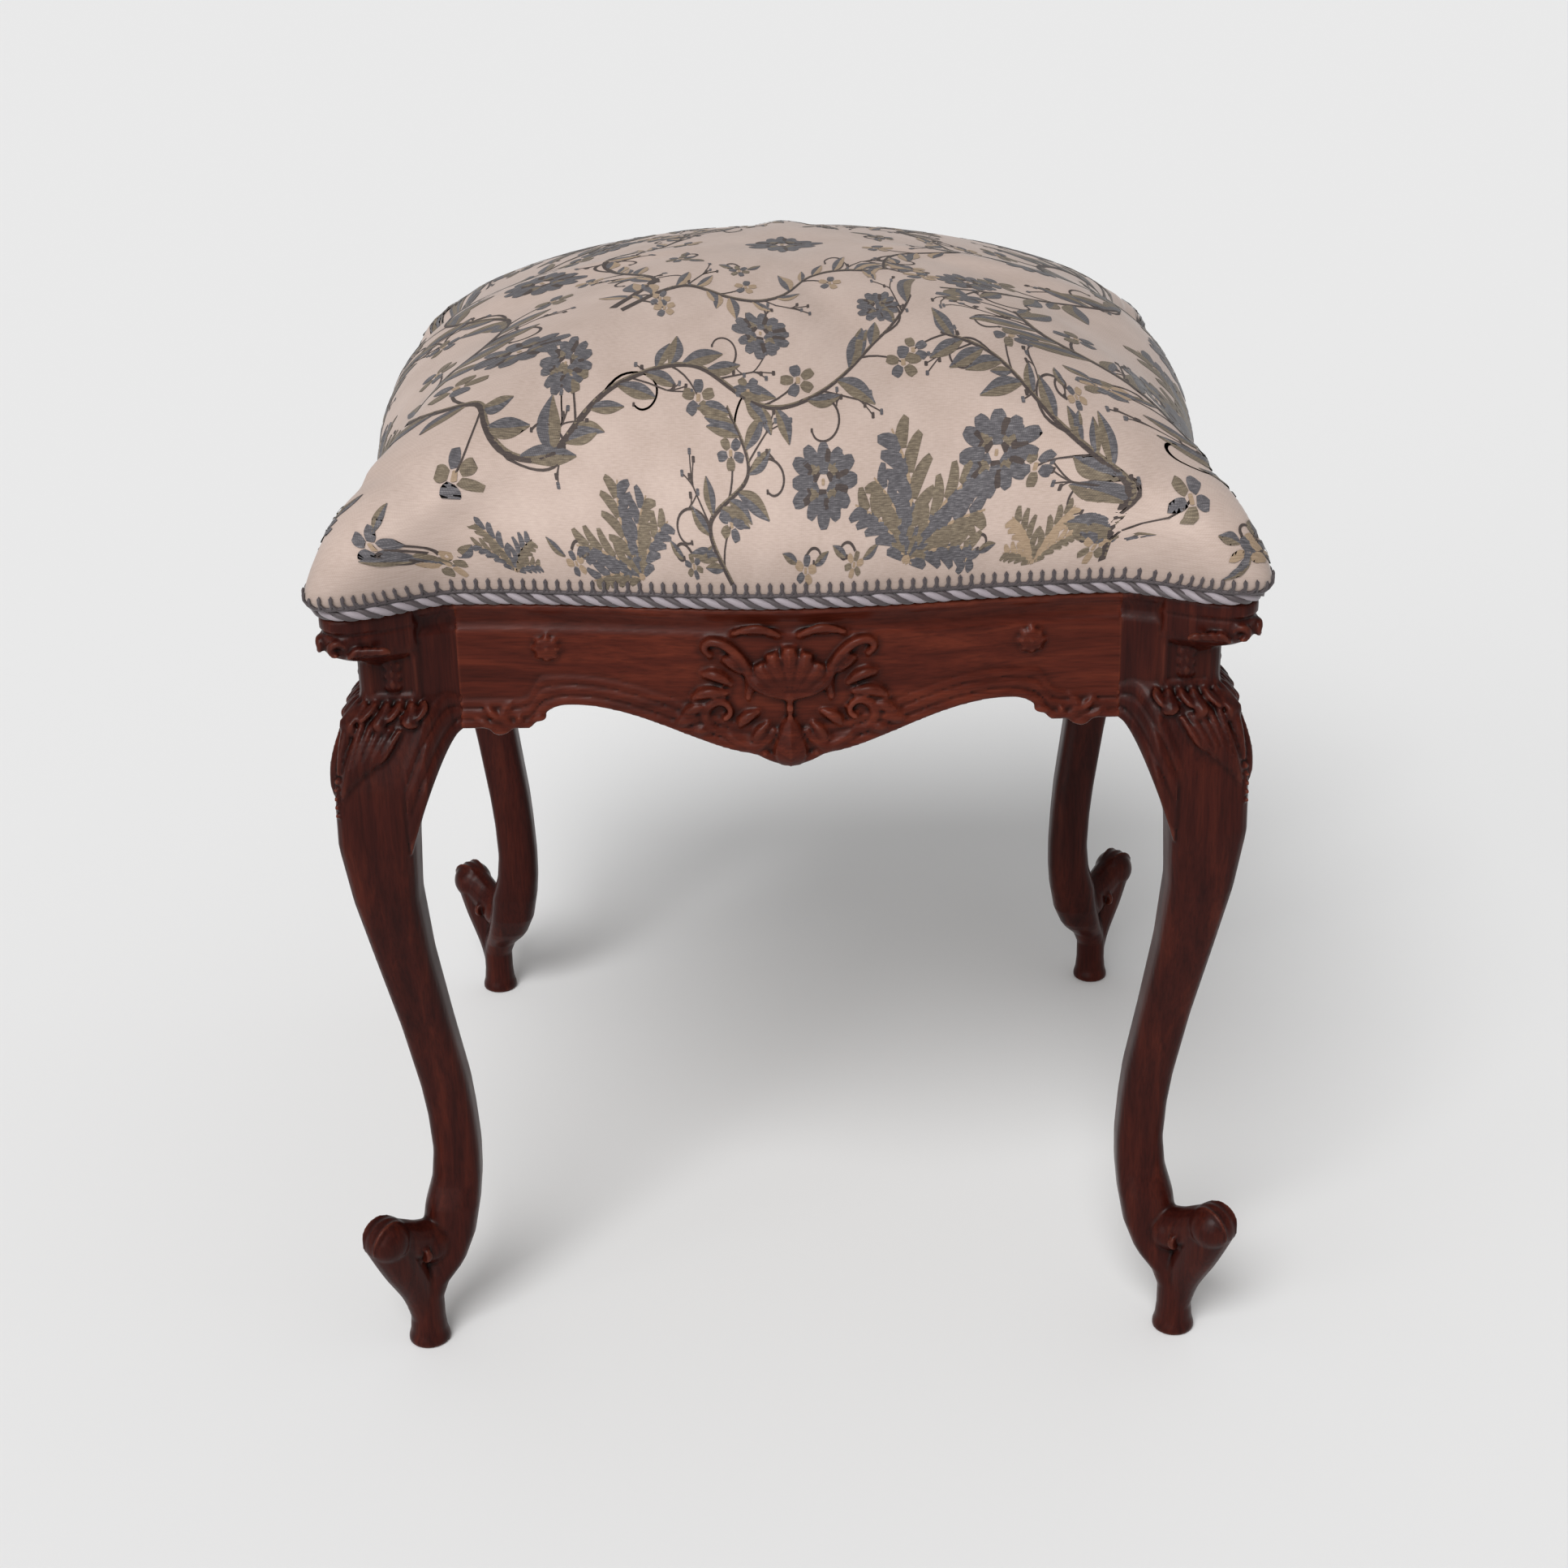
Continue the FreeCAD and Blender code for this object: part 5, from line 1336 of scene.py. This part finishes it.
# Pieces that stay as the frame has them get their real finish, by the start of their name
finishes = {"corner_block_back": beech, "corner_block_front": beech, "corner_block_screws": screwSteel,
            "tenon_pegs": beech, "webbing_tacks": bluedSteel, "cover_tacks": bluedSteel,
            "webbing_across": juteWebbing, "webbing_along": juteWebbing, "base_hessian": hessian,
            "scrim": hessian, "first_stuffing": curledHair, "top_stuffing": curledHair,
            "cotton_wadding": feltedCotton, "calico_lining": calico}
for name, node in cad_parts.items():
    for start, material in finishes.items():
        if name.startswith(start):
            node.data.materials.clear()
            node.data.materials.append(material)


# Floor and light: a plain pale floor that keeps the shadow, a soft sky that the camera sees brighter than
# it lights, and two broad lamps from the front left, one high and one low. Each lamp has its strength,
# its breadth and its tilt in degrees
stage = {"floorColour": "#e9e9e9", "floorSize": 40.0, "worldStrength": 0.42, "seenStrength": 0.81,
         "lamps": {"overheadLamp": (2.02, 30.0, (40.0, -16.0, 0.0)),
                   "sideLamp": (1.2, 60.0, (55.0, -62.0, 0.0))}}

floorBm = bmesh.new()
bmesh.ops.create_grid(floorBm, x_segments=1, y_segments=1, size=stage["floorSize"] / 2)
floor = linkObject("floor", meshFrom(floorBm, "floor", 1.0))
floorMaterial, floorShader = newMaterial("paintedFloor")
setInputs(floorMaterial, floorShader, {"Base Color": linear(stage["floorColour"]), "Roughness": 1.0,
                                       "Specular IOR Level": 0.0})
floor.data.materials.append(floorMaterial)

world = bpy.data.worlds.new("paleRoom")
bpy.context.scene.world = world
world.use_nodes = True
seen = addNode(world, "LightPath", "Is Camera Ray", {})
brightness = addNode(world, "MapRange", "Result", {"Value": seen, "To Min": stage["worldStrength"],
                                                   "To Max": stage["seenStrength"]})
setInputs(world, world.node_tree.nodes["Background"], {"Color": (1, 1, 1, 1), "Strength": brightness})

for name, (strength, breadth, tilt) in stage["lamps"].items():
    lampData = bpy.data.lights.new(name, "SUN")
    lampData.energy = strength
    lampData.angle = math.radians(breadth)
    lamp = linkObject(name, lampData)
    lamp.rotation_euler = [math.radians(value) for value in tilt]
bpy.context.scene.view_settings.view_transform = "Standard"
print("stage set")
